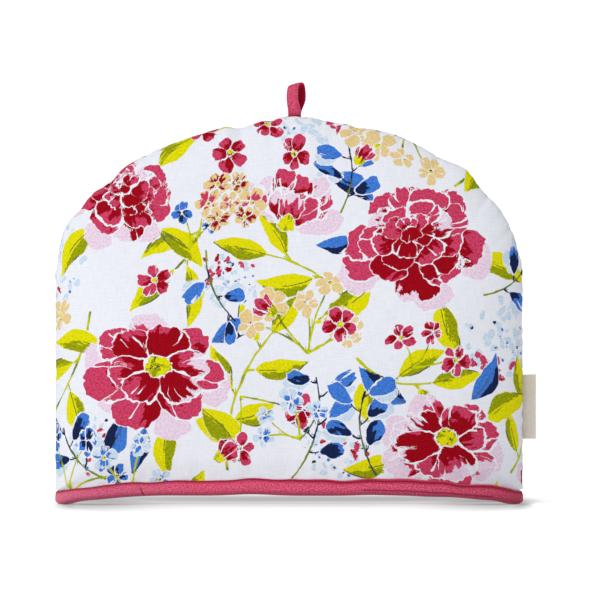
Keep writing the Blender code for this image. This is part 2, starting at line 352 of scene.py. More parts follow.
def panel_grid():
    """Columns and rows over the flat dome, blended between its four edges (a Coons patch), and its foot."""
    half = even_steps(COLUMNS // 2, HALF_WIDTH, SIDE_SWELL)
    u = np.concatenate([0.5 - half[:0:-1] / 2, 0.5 + half / 2])
    v = even_steps(ROWS, DOME, CROWN_SWELL)
    bottom = np.stack([WIDTH * u - HALF_WIDTH, np.zeros_like(u)], axis=-1)
    top = seam_point(math.pi - CORNER_ANGLE - u * (math.pi - 2 * CORNER_ANGLE))
    left, right = seam_point(math.pi - v * CORNER_ANGLE), seam_point(v * CORNER_ANGLE)
    u, v = u[None, :, None], v[:, None, None]
    edges = (1 - v) * bottom + v * top + (1 - u) * left[:, None] + u * right[:, None]
    dome = edges - (1 - v) * ((1 - u) * bottom[0] + u * bottom[-1]) - v * ((1 - u) * top[0] + u * top[-1])
    below = np.stack([np.zeros(FOOT_ROWS), np.linspace(-FOOT, 0, FOOT_ROWS + 1)[:-1]], axis=-1)
    return np.concatenate([bottom + below[:, None], dome])


dome_grid = panel_grid()
print(f"outer cloth of {COLUMNS} by {ROWS} cells")

# %% [markdown]
# ## Cloth coordinates
#
# The print and the weave lie on flat cloth, so each point of a panel needs its place on that cloth. The
# place is a length along the bent surface: sideways from the middle, and upwards from the hem. A projection
# from the front would be simpler, but it would smear the flowers where the padding rolls over at the sides.

# %% Places on the flat cloth
STRIP_SAMPLES = 40


def bent_length(flat, axis):
    """The length of the bent cloth from 0 to each point along one axis: short straight steps, summed."""
    share = np.sin(np.linspace(0, math.pi / 2, STRIP_SAMPLES))[:, None, None]
    steps = np.broadcast_to(flat, (STRIP_SAMPLES, *flat.shape)).copy()
    steps[..., axis] *= share
    run, sink = np.diff(steps[..., axis], axis=0), np.diff(HALF_DEPTH * dome_depth(steps), axis=0)
    return np.sign(flat[..., axis]) * np.hypot(run, sink).sum(axis=0)


cloth_places = np.stack([bent_length(dome_grid, 0), bent_length(dome_grid, 1)], axis=-1)
print("flat cloth of one panel, mm:", np.round(np.ptp(cloth_places, axis=(0, 1)) * 1000))

# %% [markdown]
# ## Puckers, dents and the seam
#
# A seam that joins two padded panels pulls in, so a groove runs round the dome, and small puckers start
# from it and die away over a few centimetres. The wadding inside leaves broad shallow swellings. All of it
# is one height map laid over the even dome, built from listed bell curves and a few sine waves. A
# cloth simulation would wrinkle at random and lose the even outline, so it isn't used here.

# %% Relief of a panel
SEAM_DIP, SEAM_SOFT = 0.0016, 0.0032    # how far the stitched seam pulls in, and over what distance
PUCKER_REACH = {1: 1.0, -1: 0.8}        # they run a little less far at the back
GATHER_FULL, GATHER_DEEP = 0.006, 0.00016       # ripples beside the seam: where they are fullest, how deep
HEM_FADE, HEM_DEEP = 0.010, 0.00026             # and above the hem: how fast they fade, how deep
# Troughs that start from the seam: place in degrees, depth, half width and reach, in millimetres.
SEAM_PUCKERS = np.array([
    (14, 0.5, 4.0, 16), (25, 0.7, 3.5, 20), (36, 0.5, 5.0, 24), (46, 0.8, 4.0, 22), (55, 1.1, 4.5, 30),
    (66, 0.8, 3.5, 26), (71, 0.5, 3.0, 18), (79, 0.8, 4.0, 24), (86, 0.6, 3.0, 20), (93, 0.9, 3.5, 26),
    (98, 1.2, 4.0, 34), (104, 0.6, 3.5, 20), (113, 0.7, 4.5, 26), (120, 1.2, 4.5, 32),
    (127, 0.8, 3.5, 22), (136, 0.7, 4.0, 26), (145, 0.5, 4.5, 22), (154, 0.6, 4.0, 18), (166, 0.5, 4.0, 16),
])
# Broad swellings and hollows of the wadding: across, up, height and radius, in millimetres.
SWELLINGS = {
    1: ((-85, 90, 1.3, 46), (40, 150, 1.1, 52), (95, 60, -1.0, 38), (-20, 220, -1.1, 36),
        (-120, 170, -0.9, 30), (110, 165, 1.0, 40), (5, 45, -0.9, 34)),
    -1: ((80, 100, 1.2, 50), (-50, 140, 1.1, 48), (-100, 55, -1.0, 36), (30, 215, -1.0, 36),
         (125, 160, -0.8, 30), (-5, 60, -0.7, 32)),
}


def panel_relief(flat, side):
    """Height over the even dome, in metres: the seam's groove, its puckers, ripples and swellings."""
    angle, far = on_dome(flat)
    radius = seam_radius(angle)
    off_edge, across_mm, up_mm = radius - far, flat[..., 0] * 1000, flat[..., 1] * 1000
    away = np.hypot(off_edge, HALF_DEPTH * dome_depth(flat))        # from the seam, in a straight line
    place, deep, half, reach = SEAM_PUCKERS.T
    beside = (angle[..., None] - np.radians(place)) * radius[..., None] * 1000 / half
    fade = np.exp(-(away[..., None] * 1000 / (reach * PUCKER_REACH[side])) ** 1.6)
    height = -SEAM_DIP * bell(away / SEAM_SOFT) - (deep / 1000 * bell(beside) * fade).sum(axis=-1)
    gather = away / GATHER_FULL * np.exp(1 - away / GATHER_FULL)
    height = height + GATHER_DEEP * gather * waves(radius * angle * 1000, (9.1, 12.7, 17.9, 23.0), 5 + side)
    over_hem = np.exp(-np.maximum(flat[..., 1], 0) / HEM_FADE) * smooth(off_edge / 0.02)
    height = height + HEM_DEEP * over_hem * waves(across_mm, (13.3, 19.7, 31.0), 9 + side)
    for across, up, out, spread in SWELLINGS[side]:
        swelling = bell(np.hypot(across_mm - across, up_mm - up) / spread)
        height = height + out / 1000 * swelling * smooth(away / 0.03)
    return height * smooth((over_lip(flat, side) + 0.0010) / 0.005)     # flat where the binding holds it


print(f"deepest hollow {panel_relief(dome_grid, 1).min() * 1000:.1f} mm")

# %% [markdown]
# ## The two padded panels
#
# Each panel is one closed body: its outer printed cloth, its hidden inner cloth 9 mm inside that, and the
# seam allowance between them. The outer grid is fine, because the print is held on its points. The inner
# one is four times coarser, and a fan of triangles closes the two along their borders. Where the loop and
# the tape are sewn in, the seam is parted by the thickness of what it holds.

# %% Room in the seam
LOOP_X, LOOP_WIDTH, LOOP_THICKNESS = 0.0041, 0.0097, 0.0019
LABEL_BOTTOM, LABEL_LENGTH, LABEL_THICKNESS = 0.049, 0.048, 0.0012
POCKET, POCKET_EDGE = 0.018, 0.005      # how deep the seam is parted, and how gradually


def part_seam(points, spare, fade):
    """Moves the panel back from the seam plane, to sqrt(y^2 + room^2), beside what is sewn into it."""
    x, y, z = points[..., 0], points[..., 1], points[..., 2]
    room = 0
    beside_loop, beside_label = x - LOOP_X, z - LABEL_BOTTOM - LABEL_LENGTH / 2
    for off, half, thick, depth in (
        (beside_loop, LOOP_WIDTH / 2, LOOP_THICKNESS + 0.0005, z - HEIGHT),
        (beside_label, LABEL_LENGTH / 2, LABEL_THICKNESS / 2 + 0.0003, x - HALF_WIDTH),
    ):
        beside = 1 - smooth((np.abs(off) - half - spare) / fade)
        room = room + thick * beside * smooth((depth + POCKET) / POCKET_EDGE)
    return np.stack([x, -np.sqrt(y * y + room * room), z], axis=-1)


# %% Outer and inner cloth
def surface_normals(points):
    """Unit normals of a grid of points: the cross product of its two directions, level on the seam."""
    normal = np.cross(np.gradient(points, axis=1), np.gradient(points, axis=0))
    for edge in ((-1, slice(None)), (slice(None), 0), (slice(None), -1)):
        normal[edge][..., 1] = 0
    return normal / np.maximum(np.linalg.norm(normal, axis=-1, keepdims=True), 1e-12)


def panel_surfaces(side):
    """The outer and inner grids of a front panel, squeezed together where the binding holds them."""
    flat = dome_grid
    inwards = smooth((HALF_WIDTH - np.abs(flat[..., 0])) / 0.035)
    run = END_RUN + (SWELL_RUN - END_RUN) * inwards
    held_over = HELD_OVER[1] + (HELD_OVER[0] - HELD_OVER[1]) * inwards
    held = 1 - smooth((over_lip(flat, side) - held_over) / run)
    squeezed, pulled = (WALL - RAW_EDGE) / 2 * held, end_pull(flat[..., 0]) * held
    outer = stand(flat, squeezed + pulled)
    outer = outer + surface_normals(outer) * panel_relief(flat, side)[..., None]
    inner = stand(flat, WALL - squeezed + pulled)[::COARSER, ::COARSER]
    return part_seam(outer, 0.0003, 0.0025), part_seam(inner, 0.003, 0.005)


# %% Closing the two grids along their borders
def grid_faces(rows, columns, first=0):
    """Quads over a grid of points that is numbered row by row."""
    index = first + np.arange(rows * columns).reshape(rows, columns)
    return np.stack([index[:-1, :-1], index[:-1, 1:], index[1:, 1:], index[1:, :-1]], axis=-1).reshape(-1, 4)


def border(index):
    """The numbers round the edge of a grid, in order."""
    return np.concatenate([index[0, :-1], index[:-1, -1], index[-1, :0:-1], index[:0:-1, 0]])


def closing_fan(fine, coarse):
    """Triangles between two borders: each fine edge meets its nearest coarse point, and steps fill between.

    fine and coarse are grids of point numbers, and coarse is every fourth row and column of fine.
    Returns the triangles, and each corner's place along the border and across it, for the bake's map.
    """
    order = np.full(fine.shape, -1)
    ring = border(np.arange(fine.size).reshape(fine.shape))
    order.reshape(-1)[ring] = np.arange(len(ring))
    place = border(order[::COARSER, ::COARSER])
    count = len(ring)
    nearest = np.searchsorted((place + np.append(place[1:], count)) / 2, np.arange(count) + 0.5)
    place = np.append(place, count)
    fine_ring, coarse_ring = border(fine), border(coarse)
    around = len(coarse_ring)
    here, ahead = np.arange(count), np.arange(1, count + 1)
    wide = np.stack([fine_ring[here], fine_ring[ahead % count], coarse_ring[nearest % around]], -1)
    following = np.append(nearest[1:], around + nearest[0])
    step = np.nonzero(following != nearest)[0]
    narrow = np.stack([coarse_ring[nearest[step] % around], fine_ring[ahead[step] % count],
                       coarse_ring[following[step] % around]], -1)
    last = np.where(following[step] <= around, place[np.minimum(following[step], around)], count)
    along = np.concatenate([np.stack([here, ahead, place[nearest]], -1),
                            np.stack([place[nearest[step]], ahead[step], last], -1)]) / count
    over = np.concatenate([np.tile([0.0, 0.0, 1.0], (count, 1)), np.tile([1.0, 0.0, 1.0], (len(step), 1))])
    return np.concatenate([wide, narrow]), np.stack([along, over], axis=-1)


# %% Meshes from points and faces
def make_piece(name, points, faces, sharp_deg=50):
    """An object at the origin, smooth, its faces turned outwards. faces is a list of corner-number lists."""
    mesh = bpy.data.meshes.new(name)
    mesh.from_pydata((points.reshape(-1, 3) + (MIDDLE_X, 0, 0)).tolist(), [], faces)
    built = bmesh.new()
    built.from_mesh(mesh)
    bmesh.ops.recalc_face_normals(built, faces=built.faces)
    built.to_mesh(mesh)
    built.free()
    mesh.shade_smooth()
    mesh.set_sharp_from_angle(angle=math.radians(sharp_deg))
    return place_object(name, mesh)


def corner_numbers(mesh):
    """The point number of every face corner, in the mesh's own order."""
    numbers = np.empty(len(mesh.loops), np.int32)
    mesh.loops.foreach_get("vertex_index", numbers)
    return numbers


def add_map(mesh, name, corner_places):
    """A UV map from one place for each face corner."""
    layer = mesh.uv_layers.new(name=name, do_init=False)
    layer.uv.foreach_set("vector", np.asarray(corner_places, np.float32).ravel())


def add_values(mesh, name, values, kind="FLOAT"):
    """A number, or a vector, on each point of a mesh, for its material to read."""
    layer = mesh.attributes.new(name, kind, "POINT")
    layer.data.foreach_set("value" if kind == "FLOAT" else "vector", np.asarray(values, np.float32).ravel())


# %% Build a panel
# How far across the bake's map reaches, and its bands: the outer cloth, the inner cloth, the edge between.
BAKE_ACROSS = (0.004, 0.996)
BAKE_OUTER, BAKE_INNER, BAKE_EDGE = (0.004, 0.780), (0.790, 0.970), (0.976, 0.996)


def within(band, share):
    """A place at a share of the way through a band."""
    return band[0] + (band[1] - band[0]) * share


def on_bake(band, across, up):
    """Places on the bake's map, from shares of the way across it and up one of its bands."""
    return np.stack([within(BAKE_ACROSS, across), within(band, up)], axis=-1)


def build_panel(name, side):
    """One closed panel. side is 1 for the front and -1 for the back, which is the front turned round."""
    outer, inner = panel_surfaces(side)
    points = np.concatenate([outer.reshape(-1, 3), inner.reshape(-1, 3)]) * (1, side, 1)
    fine = np.arange(outer[..., 0].size).reshape(outer.shape[:2])
    coarse = fine.size + np.arange(inner[..., 0].size).reshape(inner.shape[:2])
    fan, fan_places = closing_fan(fine, coarse)
    quads = np.concatenate([grid_faces(*fine.shape), grid_faces(*coarse.shape, fine.size)])
    made = make_piece(name, points, quads.tolist() + fan.tolist())
    corners = corner_numbers(made.data)
    both = (cloth_places, cloth_places[::COARSER, ::COARSER])
    add_map(made.data, "cloth", np.concatenate([places.reshape(-1, 2) for places in both])[corners])
    grids = []
    for (rows, columns), band in ((fine.shape, BAKE_OUTER), (coarse.shape, BAKE_INNER)):
        down, right = np.divmod(np.arange(rows * columns), columns)
        grids.append(on_bake(band, right / (columns - 1), down / (rows - 1)))
    bake_corners = np.concatenate(grids)[corners]
    # The fan's corners may have been turned to face outwards, so each is found again by its point.
    turned = corners[quads.size:].reshape(-1, 3)
    slots = np.array([[0, 1, 2], [0, 2, 1], [2, 1, 0], [1, 0, 2], [1, 2, 0], [2, 0, 1]])
    match = (fan[:, slots] == turned[:, None]).all(axis=-1).argmax(axis=1)
    placed = np.take_along_axis(fan_places, slots[match][..., None], axis=1).reshape(-1, 2)
    bake_corners[quads.size:] = on_bake(BAKE_EDGE, *placed.T)
    add_map(made.data, "OFBake", bake_corners)
    print(f"{name}: {sum(len(face.vertices) - 2 for face in made.data.polygons)} triangles")
    return made


front_panel, back_panel = build_panel("padded_front", 1), build_panel("padded_back", -1)

# %% [markdown]
# ## The printed cotton
#
# The cloth is screen-printed: each colour goes on in its own pass, so the colours are flat, they overlap,
# and their edges are a little ragged. The design is a general one of garden flowers painted with a loose
# brush: double blooms, open blooms with lime hearts, small five-petalled blossoms, pale flower heads, blue
# sprigs and lime leaves. It is drawn from simple curves, and seeded noise gives each petal its own edge.
#
# Each screen is held as one number on every point of the cloth: how far, in millimetres, the point lies
# outside the nearest mark of that colour, negative inside it. The material turns the numbers into crisp
# edges and roughens them along the brush. An image would be easier, but numbers on the mesh need no file.

# %% The screens
REPEAT = np.array([440.0, 330.0])       # the print comes round again after this many millimetres
SCREENS = ("blush", "sky", "peach", "lime", "rose", "blue", "olive", "crimson", "navy")
LINES = ("bare", "drawn")               # thin lines: bare cloth between petals, and stems
UNPRINTED = 9.0
STRAY = 6.0                             # how far a motif's petals may stray past its reach
# How far beside a line its width holds, how fast it falls off there, and how fast inside a new mark.
LINE_REACH, LINE_FADE, LINE_CUT = 1.1, 5.0, 4.0
END_TAPER = 2.0                         # and how fast past its ends
DRIFT_SIZES = (9.0, 3.6)                # the brush strays in waves of about these lengths
BRUSH_LAYERS = 97


class PrintedCloth:
    """Points of flat cloth in millimetres, how far each lies outside the marks of each screen, and lines.

    A line thinner than the mesh's grid would break up, so it is held as two numbers that pass evenly from
    point to point: the signed distance from its middle, and its half width, which is negative far from it.
    """

    def __init__(self, places):
        self.places = places
        self.ink = {name: np.full(len(places), UNPRINTED) for name in SCREENS + LINES}
        self.half = {name: np.full(len(places), -UNPRINTED) for name in LINES}
        self.dark = np.zeros(len(places))
        self.brush = np.column_stack([places, np.zeros(len(places))])


# %% Noise, directions and simple forms
def toward(length, degrees):
    """A step of that length in that direction."""
    return length * np.array([math.cos(math.radians(degrees)), math.sin(math.radians(degrees))])


def noise(across, up, seed):
    """Smooth noise from -1 to 1: random values on a square grid, eased between the corners of each cell."""
    table = np.random.default_rng(seed).uniform(-1, 1, (64, 64))
    column, row = np.floor(across).astype(int), np.floor(up).astype(int)
    right, higher = smooth(across - column), smooth(up - row)
    low, high = (table[level % 64, column % 64] * (1 - right) + table[level % 64, (column + 1) % 64] * right
                 for level in (row, row + 1))
    return low * (1 - higher) + high * higher


def drift(places, size, seed):
    """Moves each place a little, as a loose brush does: noise of two sizes each way."""
    wide, small = (places.T / wave for wave in DRIFT_SIZES)
    shift = [noise(*wide, seed + way) + 0.5 * noise(*small, seed + way + 2) for way in (0, 1)]
    return places + size * np.stack(shift, axis=-1)


def along_across(places, base, degrees):
    """Each place as a length along a direction from a base, and a length across it."""
    off = places - base
    return off @ toward(1, degrees), off @ toward(1, degrees + 90)


def oval(along, across, length, width, widening=0.35):
    """Distance outside an ellipse, wider towards its tip: (f - 1) over f's gradient, f = 1 on its edge."""
    part = np.clip(along / length, -0.2, 1.2)
    half = width / 2 * (1 + widening * (2 * part - 1))
    lengthways, sideways = (along - length / 2) / (length / 2), across / half
    f = np.hypot(lengthways, sideways) + 1e-9
    return (f - 1) * f / np.hypot(lengthways / (length / 2), sideways / half)


def petal(places, base, degrees, length, width, widening=0.35):
    """Distance outside a plain petal that starts at its base."""
    return oval(*along_across(places, base, degrees), length, width, widening)


def spot(places, centre, radius):
    """Distance outside a round spot."""
    return np.hypot(*(places - centre).T) - radius


def bowed_point(ends, bow, share):
    """A point at a share of the way along a bowed line: the chord plus a parabola to its side."""
    start, end = np.array(ends, float)
    side = np.array([start[1] - end[1], end[0] - start[0]])
    return start + (end - start) * share + side * bow * 4 * share * (1 - share)


def bowed_line(places, ends, widths, bow=0.0, steps=14):
    """Signed distance from a bowed line's middle, its half width, less past its ends, and its share."""
    path = [bowed_point(ends, bow, share) for share in np.linspace(0, 1, steps + 1)]
    side, half, share = np.full(len(places), 1e9), np.zeros(len(places)), np.zeros(len(places))
    for step in range(steps):
        run = path[step + 1] - path[step]
        long = math.hypot(*run)
        off = places - path[step]
        ahead = off @ run / long
        rest = off - np.clip(ahead / long, 0, 1)[:, None] * run
        far = np.hypot(*rest.T)
        nearer = far < np.abs(side)
        left = run[0] * off[:, 1] - run[1] * off[:, 0] > 0
        past = np.maximum(-ahead, 0) * (step == 0) + np.maximum(ahead - long, 0) * (step == steps - 1)
        at = (step + np.clip(ahead / long, 0, 1)) / steps
        width = widths[0] + (widths[1] - widths[0]) * at
        side = np.where(nearer, np.where(left, far, -far), side)
        half = np.where(nearer, width / 2 - END_TAPER * past, half)
        share = np.where(nearer, at, share)
    return side, half, share


# %% One motif, and its petals
class Motif:
    """The cloth's points beside the nearest repeat of a motif, as a loose brush finds them."""

    def __init__(self, cloth, middle, reach, loose, seed, chance=None):
        off = (cloth.places - middle + REPEAT / 2) % REPEAT - REPEAT / 2
        self.cloth, self.found = cloth, np.nonzero(np.abs(off).max(axis=1) < reach + STRAY)[0]
        self.places = drift(middle + off[self.found], loose, seed)
        self.chance = chance or np.random.default_rng(seed)

    def clouds(self, size, seed):
        """Noise over the motif's places, in clouds of that size."""
        return noise(*(self.places / size).T, seed)

    def see_askew(self, centre, degrees, squash):
        """Draws the places out in one direction, so that what is drawn on them looks foreshortened."""
        way = toward(1, degrees)
        self.places = self.places + ((self.places - centre) @ way)[:, None] * way * (1 / squash - 1)

    def clear(self, outside, names=SCREENS):
        """Clears a new mark's place: the greater of the held distance and the mark's own, negated."""
        for screen in [self.cloth.ink[name] for name in names]:
            screen[self.found] = np.maximum(screen[self.found], -outside)
        for half in self.cloth.half.values():
            half[self.found] = np.minimum(half[self.found], LINE_CUT * outside)

    def line(self, name, side, half, dark=0.0):
        """Adds a line where its edge lies nearer than that of the line held. side is 0 along its middle."""
        sides, halves = self.cloth.ink[name], self.cloth.half[name]
        half = half - LINE_FADE * np.maximum(np.abs(side) - half - LINE_REACH, 0)
        nearer = np.abs(side) - half < np.abs(sides[self.found]) - halves[self.found]
        here = self.found[nearer]
        sides[here], halves[here] = side[nearer], half[nearer]
        if name == "drawn":
            self.cloth.dark[here] = np.broadcast_to(dark, side.shape)[nearer]

    def colour(self, ink, *outside):
        """Adds a mark to a screen, the greatest of its distances where there are several."""
        screen = self.cloth.ink[ink]
        screen[self.found] = np.minimum(screen[self.found], np.maximum.reduce(outside))

    def mark(self, ink, outside, bare=None):
        """A mark on cleared cloth, inside a bare line of that half width."""
        self.clear(outside)
        if bare is not None:
            self.line("bare", outside - bare, bare)
        self.colour(ink, outside)

    def brush(self, inside, across, along, number):
        """Holds the place across and along the brush inside a mark, on that mark's layer of the noise."""
        layer = np.full(len(across), number % BRUSH_LAYERS)
        self.cloth.brush[self.found[inside]] = np.stack([across, along, layer], axis=-1)[inside]

    def pale_petal(self, base, heading, length, width, ink="blush"):
        """A petal of one pale wash."""
        seed = int(self.chance.integers(1, 9999))
        outside = petal(self.places, base, heading, length, width)
        outside = outside + 1.3 * self.clouds(5, seed) + 0.5 * self.clouds(2.2, seed + 1)
        self.mark(ink, outside, 0.3 + 0.4 * self.clouds(9, seed + 2))

    def brushed_petal(self, base, heading, length, width, dark=0.5, pale=0.0, gap=1.0,
                      inks=("rose", "crimson"), ragged=1.0, streaks=2):
        """A petal with a ragged tip, shaded from its root in fingers, with bare lines round and along it."""
        chance, (tint, deep) = self.chance, inks
        seed = int(chance.integers(1, 9999))
        along, across = along_across(self.places, base, heading)
        part = along / length
        fingers = noise(along / (0.45 * length) + 7, across / (1.2 + 0.030 * length), seed)
        clouds = self.clouds(2.2 + 0.10 * length, seed + 1)
        tip = 0.9 * self.clouds(3.4, seed + 2) + 2.6 * np.clip(part - 0.45, 0, 0.6) * fingers
        outside = oval(along, across, length, width) + ragged * tip
        self.mark("blush" if pale else tint, outside, gap * (0.42 + 0.45 * self.clouds(8, seed + 3)))
        if pale:
            tinted = (part - 1 + pale) * length * 0.5 + (1.2 + 0.05 * length) * fingers + 0.8 * clouds
            self.colour(tint, outside, tinted)
        if deep:
            shade = (part - dark) * length * 0.45 + chance.uniform(-0.35, 0.35) * across
            shade = shade + (0.8 + 0.09 * length) * fingers + (0.5 + 0.05 * length) * clouds
            self.colour(deep, outside + 0.3, shade * 0.7)
        for _ in range(streaks):
            tilt = chance.uniform(-0.5, 0.5) * width / length
            start = base + toward(length * chance.uniform(0.30, 0.6), heading + math.degrees(tilt) * 0.8)
            end = base + toward(length * chance.uniform(0.8, 1.1), heading + math.degrees(tilt))
            side, half, _ = bowed_line(self.places, (start, end), (-0.3, chance.uniform(0.9, 2.2)), tilt / 3)
            self.line("bare", side, np.where(outside < 0.5, half + 0.35 * fingers, -UNPRINTED))
        self.brush(outside < 1.2, across, along * 0.18, seed)


# %% Full and open blooms
# Rounds of petals from the outside in: how many, where they start, their length, width and dark share.
FULL_ROUNDS = ((8, 0.34, 0.68, 0.60, 0.42), (7, 0.22, 0.58, 0.52, 0.62), (6, 0.10, 0.48, 0.44, 0.62),
               (4, 0.00, 0.38, 0.36, 0.80), (2, -0.04, 0.26, 0.28, 1.0))
OPEN_ROUNDS = ((7, 0.06, 1.06, 0.66, 0.40), (6, 0.06, 0.74, 0.60, 0.72))
# How loosely they are laid: degrees off their way, sizes, degrees off their heading, darkness, how much
# lighter on the side that the bloom is turned to, how pale some are and how many, gaps and streaks.
FULL_HAND = {"sway": 13, "sizes": (0.86, 1.14), "tilt": 20, "darker": (-0.3, 0.3), "turned": 0.28,
             "pale": (0.35, 0.16), "gaps": (0.5, 1.6), "streaks": (0, 3)}
OPEN_HAND = {"sway": 12, "sizes": (0.84, 1.14), "tilt": 8, "darker": (-0.2, 0.3), "turned": 0.0,
             "pale": (0.3, 0.2), "gaps": (0.8, 1.8), "streaks": (1, 4)}


def pale_washes(motif, middle, size, facing, count, step, out, sway, tilt, lengths, widths):
    """Pale petals that show behind a bloom, fanned about one side of it."""
    chance = motif.chance
    for number in range(count):
        way = facing + step * (number - (count - 1) / 2) + chance.uniform(-sway, sway)
        motif.pale_petal(middle + toward(size * out, way), way + chance.uniform(-tilt, tilt),
                         size * chance.uniform(*lengths), size * chance.uniform(*widths))


def petal_round(motif, middle, size, turn, petals, sway, sizes, tilt, darker, turned, pale, gaps, streaks):
    """One round of brushed petals, laid in chance order."""
    chance, (count, root, length, width, dark) = motif.chance, petals
    first = chance.uniform(0, 360)
    for number in chance.permutation(count):
        way = first + 360 / count * number + chance.uniform(-sway, sway)
        grown, lighter = size * chance.uniform(*sizes), turned * math.cos(math.radians(way - turn))
        motif.brushed_petal(middle + toward(size * root, way), way + chance.uniform(-tilt, tilt),
                            grown * length, grown * width, dark=dark + chance.uniform(*darker) - lighter,
                            pale=pale[0] if chance.random() < pale[1] else 0.0,
                            gap=chance.uniform(*gaps), streaks=int(chance.integers(*streaks)))


def full_bloom(cloth, centre, size, turn, seed):
    """A double bloom seen a little from the side: five rounds of brushed petals, the inner ones set back."""
    motif, middle = Motif(cloth, centre, size * 1.55, size * 0.022, seed), centre
    pale_washes(motif, centre, size, turn + 180, 3, 62, 0.55, 12, 20, (0.50, 0.75), (0.45, 0.6))
    motif.see_askew(centre, turn, 0.84)
    for petals in FULL_ROUNDS:
        petal_round(motif, middle, size, turn, petals, **FULL_HAND)
        middle = middle + toward(size * 0.05, turn + motif.chance.uniform(-25, 25))


def open_bloom(cloth, centre, size, turn, seed):
    """Petals in two rounds about a lime boss with specks, seen a little from the side."""
    motif = Motif(cloth, centre, size * 1.7, size * 0.022, seed)
    pale_washes(motif, centre, size, turn + 160, 4, 56, 0.5, 14, 18, (0.55, 0.8), (0.45, 0.65))
    motif.see_askew(centre, turn, 0.80)
    for petals in OPEN_ROUNDS:
        petal_round(motif, centre, size, turn, petals, **OPEN_HAND)
    boss = spot(motif.places, centre + toward(size * 0.05, turn), size * 0.20)
    boss = boss + 1.5 * motif.clouds(2.4, seed) + 0.8 * motif.clouds(1.3, seed + 1)
    motif.mark("lime", boss, 0.5)
    motif.colour("olive", boss + 0.3, 2.2 * motif.clouds(2.6, seed + 2) + 0.6)
    motif.colour("navy", boss - 1.0, 2.2 * motif.clouds(1.9, seed + 4) + 1.35)
    motif.brush(boss < 1, *motif.places.T, 0)


# %% Blooms from the side, and buds
SIDE_FAN = ((-44, 1.0), (40, 1.04), (-22, 1.16), (20, 1.1), (0, 0.98), (-30, 0.72), (28, 0.70), (2, 0.62))


def side_bloom(cloth, base, heading, size, seed):
    """A bloom seen from the side: petals fanned up from a lime cup."""
    motif = Motif(cloth, base + toward(size * 0.6, heading), size * 1.25, size * 0.02, seed)
    chance = motif.chance
    for lean in (-66, 60):
        motif.pale_petal(base, heading + lean, size * 1.05, size * 0.5)
    for lean, reach in SIDE_FAN:
        motif.brushed_petal(base, heading + lean + chance.uniform(-5, 5), size * reach,
                            size * chance.uniform(0.40, 0.54), dark=chance.uniform(0.35, 0.95),
                            pale=0.3 if chance.random() < 0.2 else 0.0, gap=chance.uniform(0.7, 1.6),
                            streaks=int(chance.integers(0, 3)))
    cup = petal(motif.places, base - toward(size * 0.14, heading), heading, size * 0.34, size * 0.30, -0.3)
    cup = cup + 0.7 * motif.clouds(2.5, seed)
    motif.mark("lime", cup, 0.3)
    motif.colour("olive", cup + 0.2, 1.8 * motif.clouds(3, seed + 1) + 0.2)


def bud(cloth, at, heading, size, seed):
    """A round bud: crimson and rose petals wrapped over each other, in a lime calyx."""
    motif = Motif(cloth, at, size * 1.6, 0.4, seed)
    for lean, dark in ((-24, 0.4), (26, 0.8), (0, 0.6)):
        motif.brushed_petal(at, heading + lean, size * (1.25 - abs(lean) / 200), size * 0.62,
                            dark=dark, gap=0.8, streaks=0)
    root = at - toward(size * 0.28, heading)
    for lean in (-34, 0, 34):
        sepal = petal(motif.places, root, heading + lean, size * 0.66, size * 0.26, -0.4)
        motif.mark("lime", sepal)
        motif.colour("olive", sepal + 0.2, 1.6 * motif.clouds(2.4, seed + lean))


# %% Small blossoms
def blossom(cloth, centre, size, turn, seed, inks=("rose", "crimson"), eye="lime"):
    """Five brushed petals round a small eye with navy specks, seen askew."""
    motif = Motif(cloth, centre, size * 1.3, 0.35, seed)
    chance = motif.chance
    motif.see_askew(centre, turn * 3, chance.uniform(0.74, 0.95))
    for number in chance.permutation(5):
        way = turn + 72 * number + chance.uniform(-9, 9)
        grown = size * chance.uniform(0.82, 1.12)
        motif.brushed_petal(centre + toward(size * 0.06, way), way, grown, grown * 0.72,
                            dark=chance.uniform(0.2, 0.75), gap=chance.uniform(0.5, 1.2), inks=inks,
                            ragged=0.75, streaks=int(chance.random() < 0.4))
    if eye:
        motif.mark(eye, spot(motif.places, centre, size * 0.17) + 0.5 * motif.clouds(1.6, seed), 0.25)
    for _ in range(3):
        at = centre + toward(size * chance.uniform(0.0, 0.24), chance.uniform(0, 360))
        motif.colour("navy", spot(motif.places, at, chance.uniform(0.55, 0.9)))


def posy(cloth, centre, size, seed):
    """A round head of peach blossoms, streaked crimson or rose, with lime eyes."""
    chance = np.random.default_rng(seed)
    middles = [centre + toward(size * 0.66, 60 * number + chance.uniform(-12, 12)) for number in range(6)]
    for number, middle in enumerate([*middles, centre]):
        blossom(cloth, middle, size * chance.uniform(0.38, 0.48), chance.uniform(0, 72), seed * 13 + number,
                ("peach", "crimson" if number % 3 else "rose"))


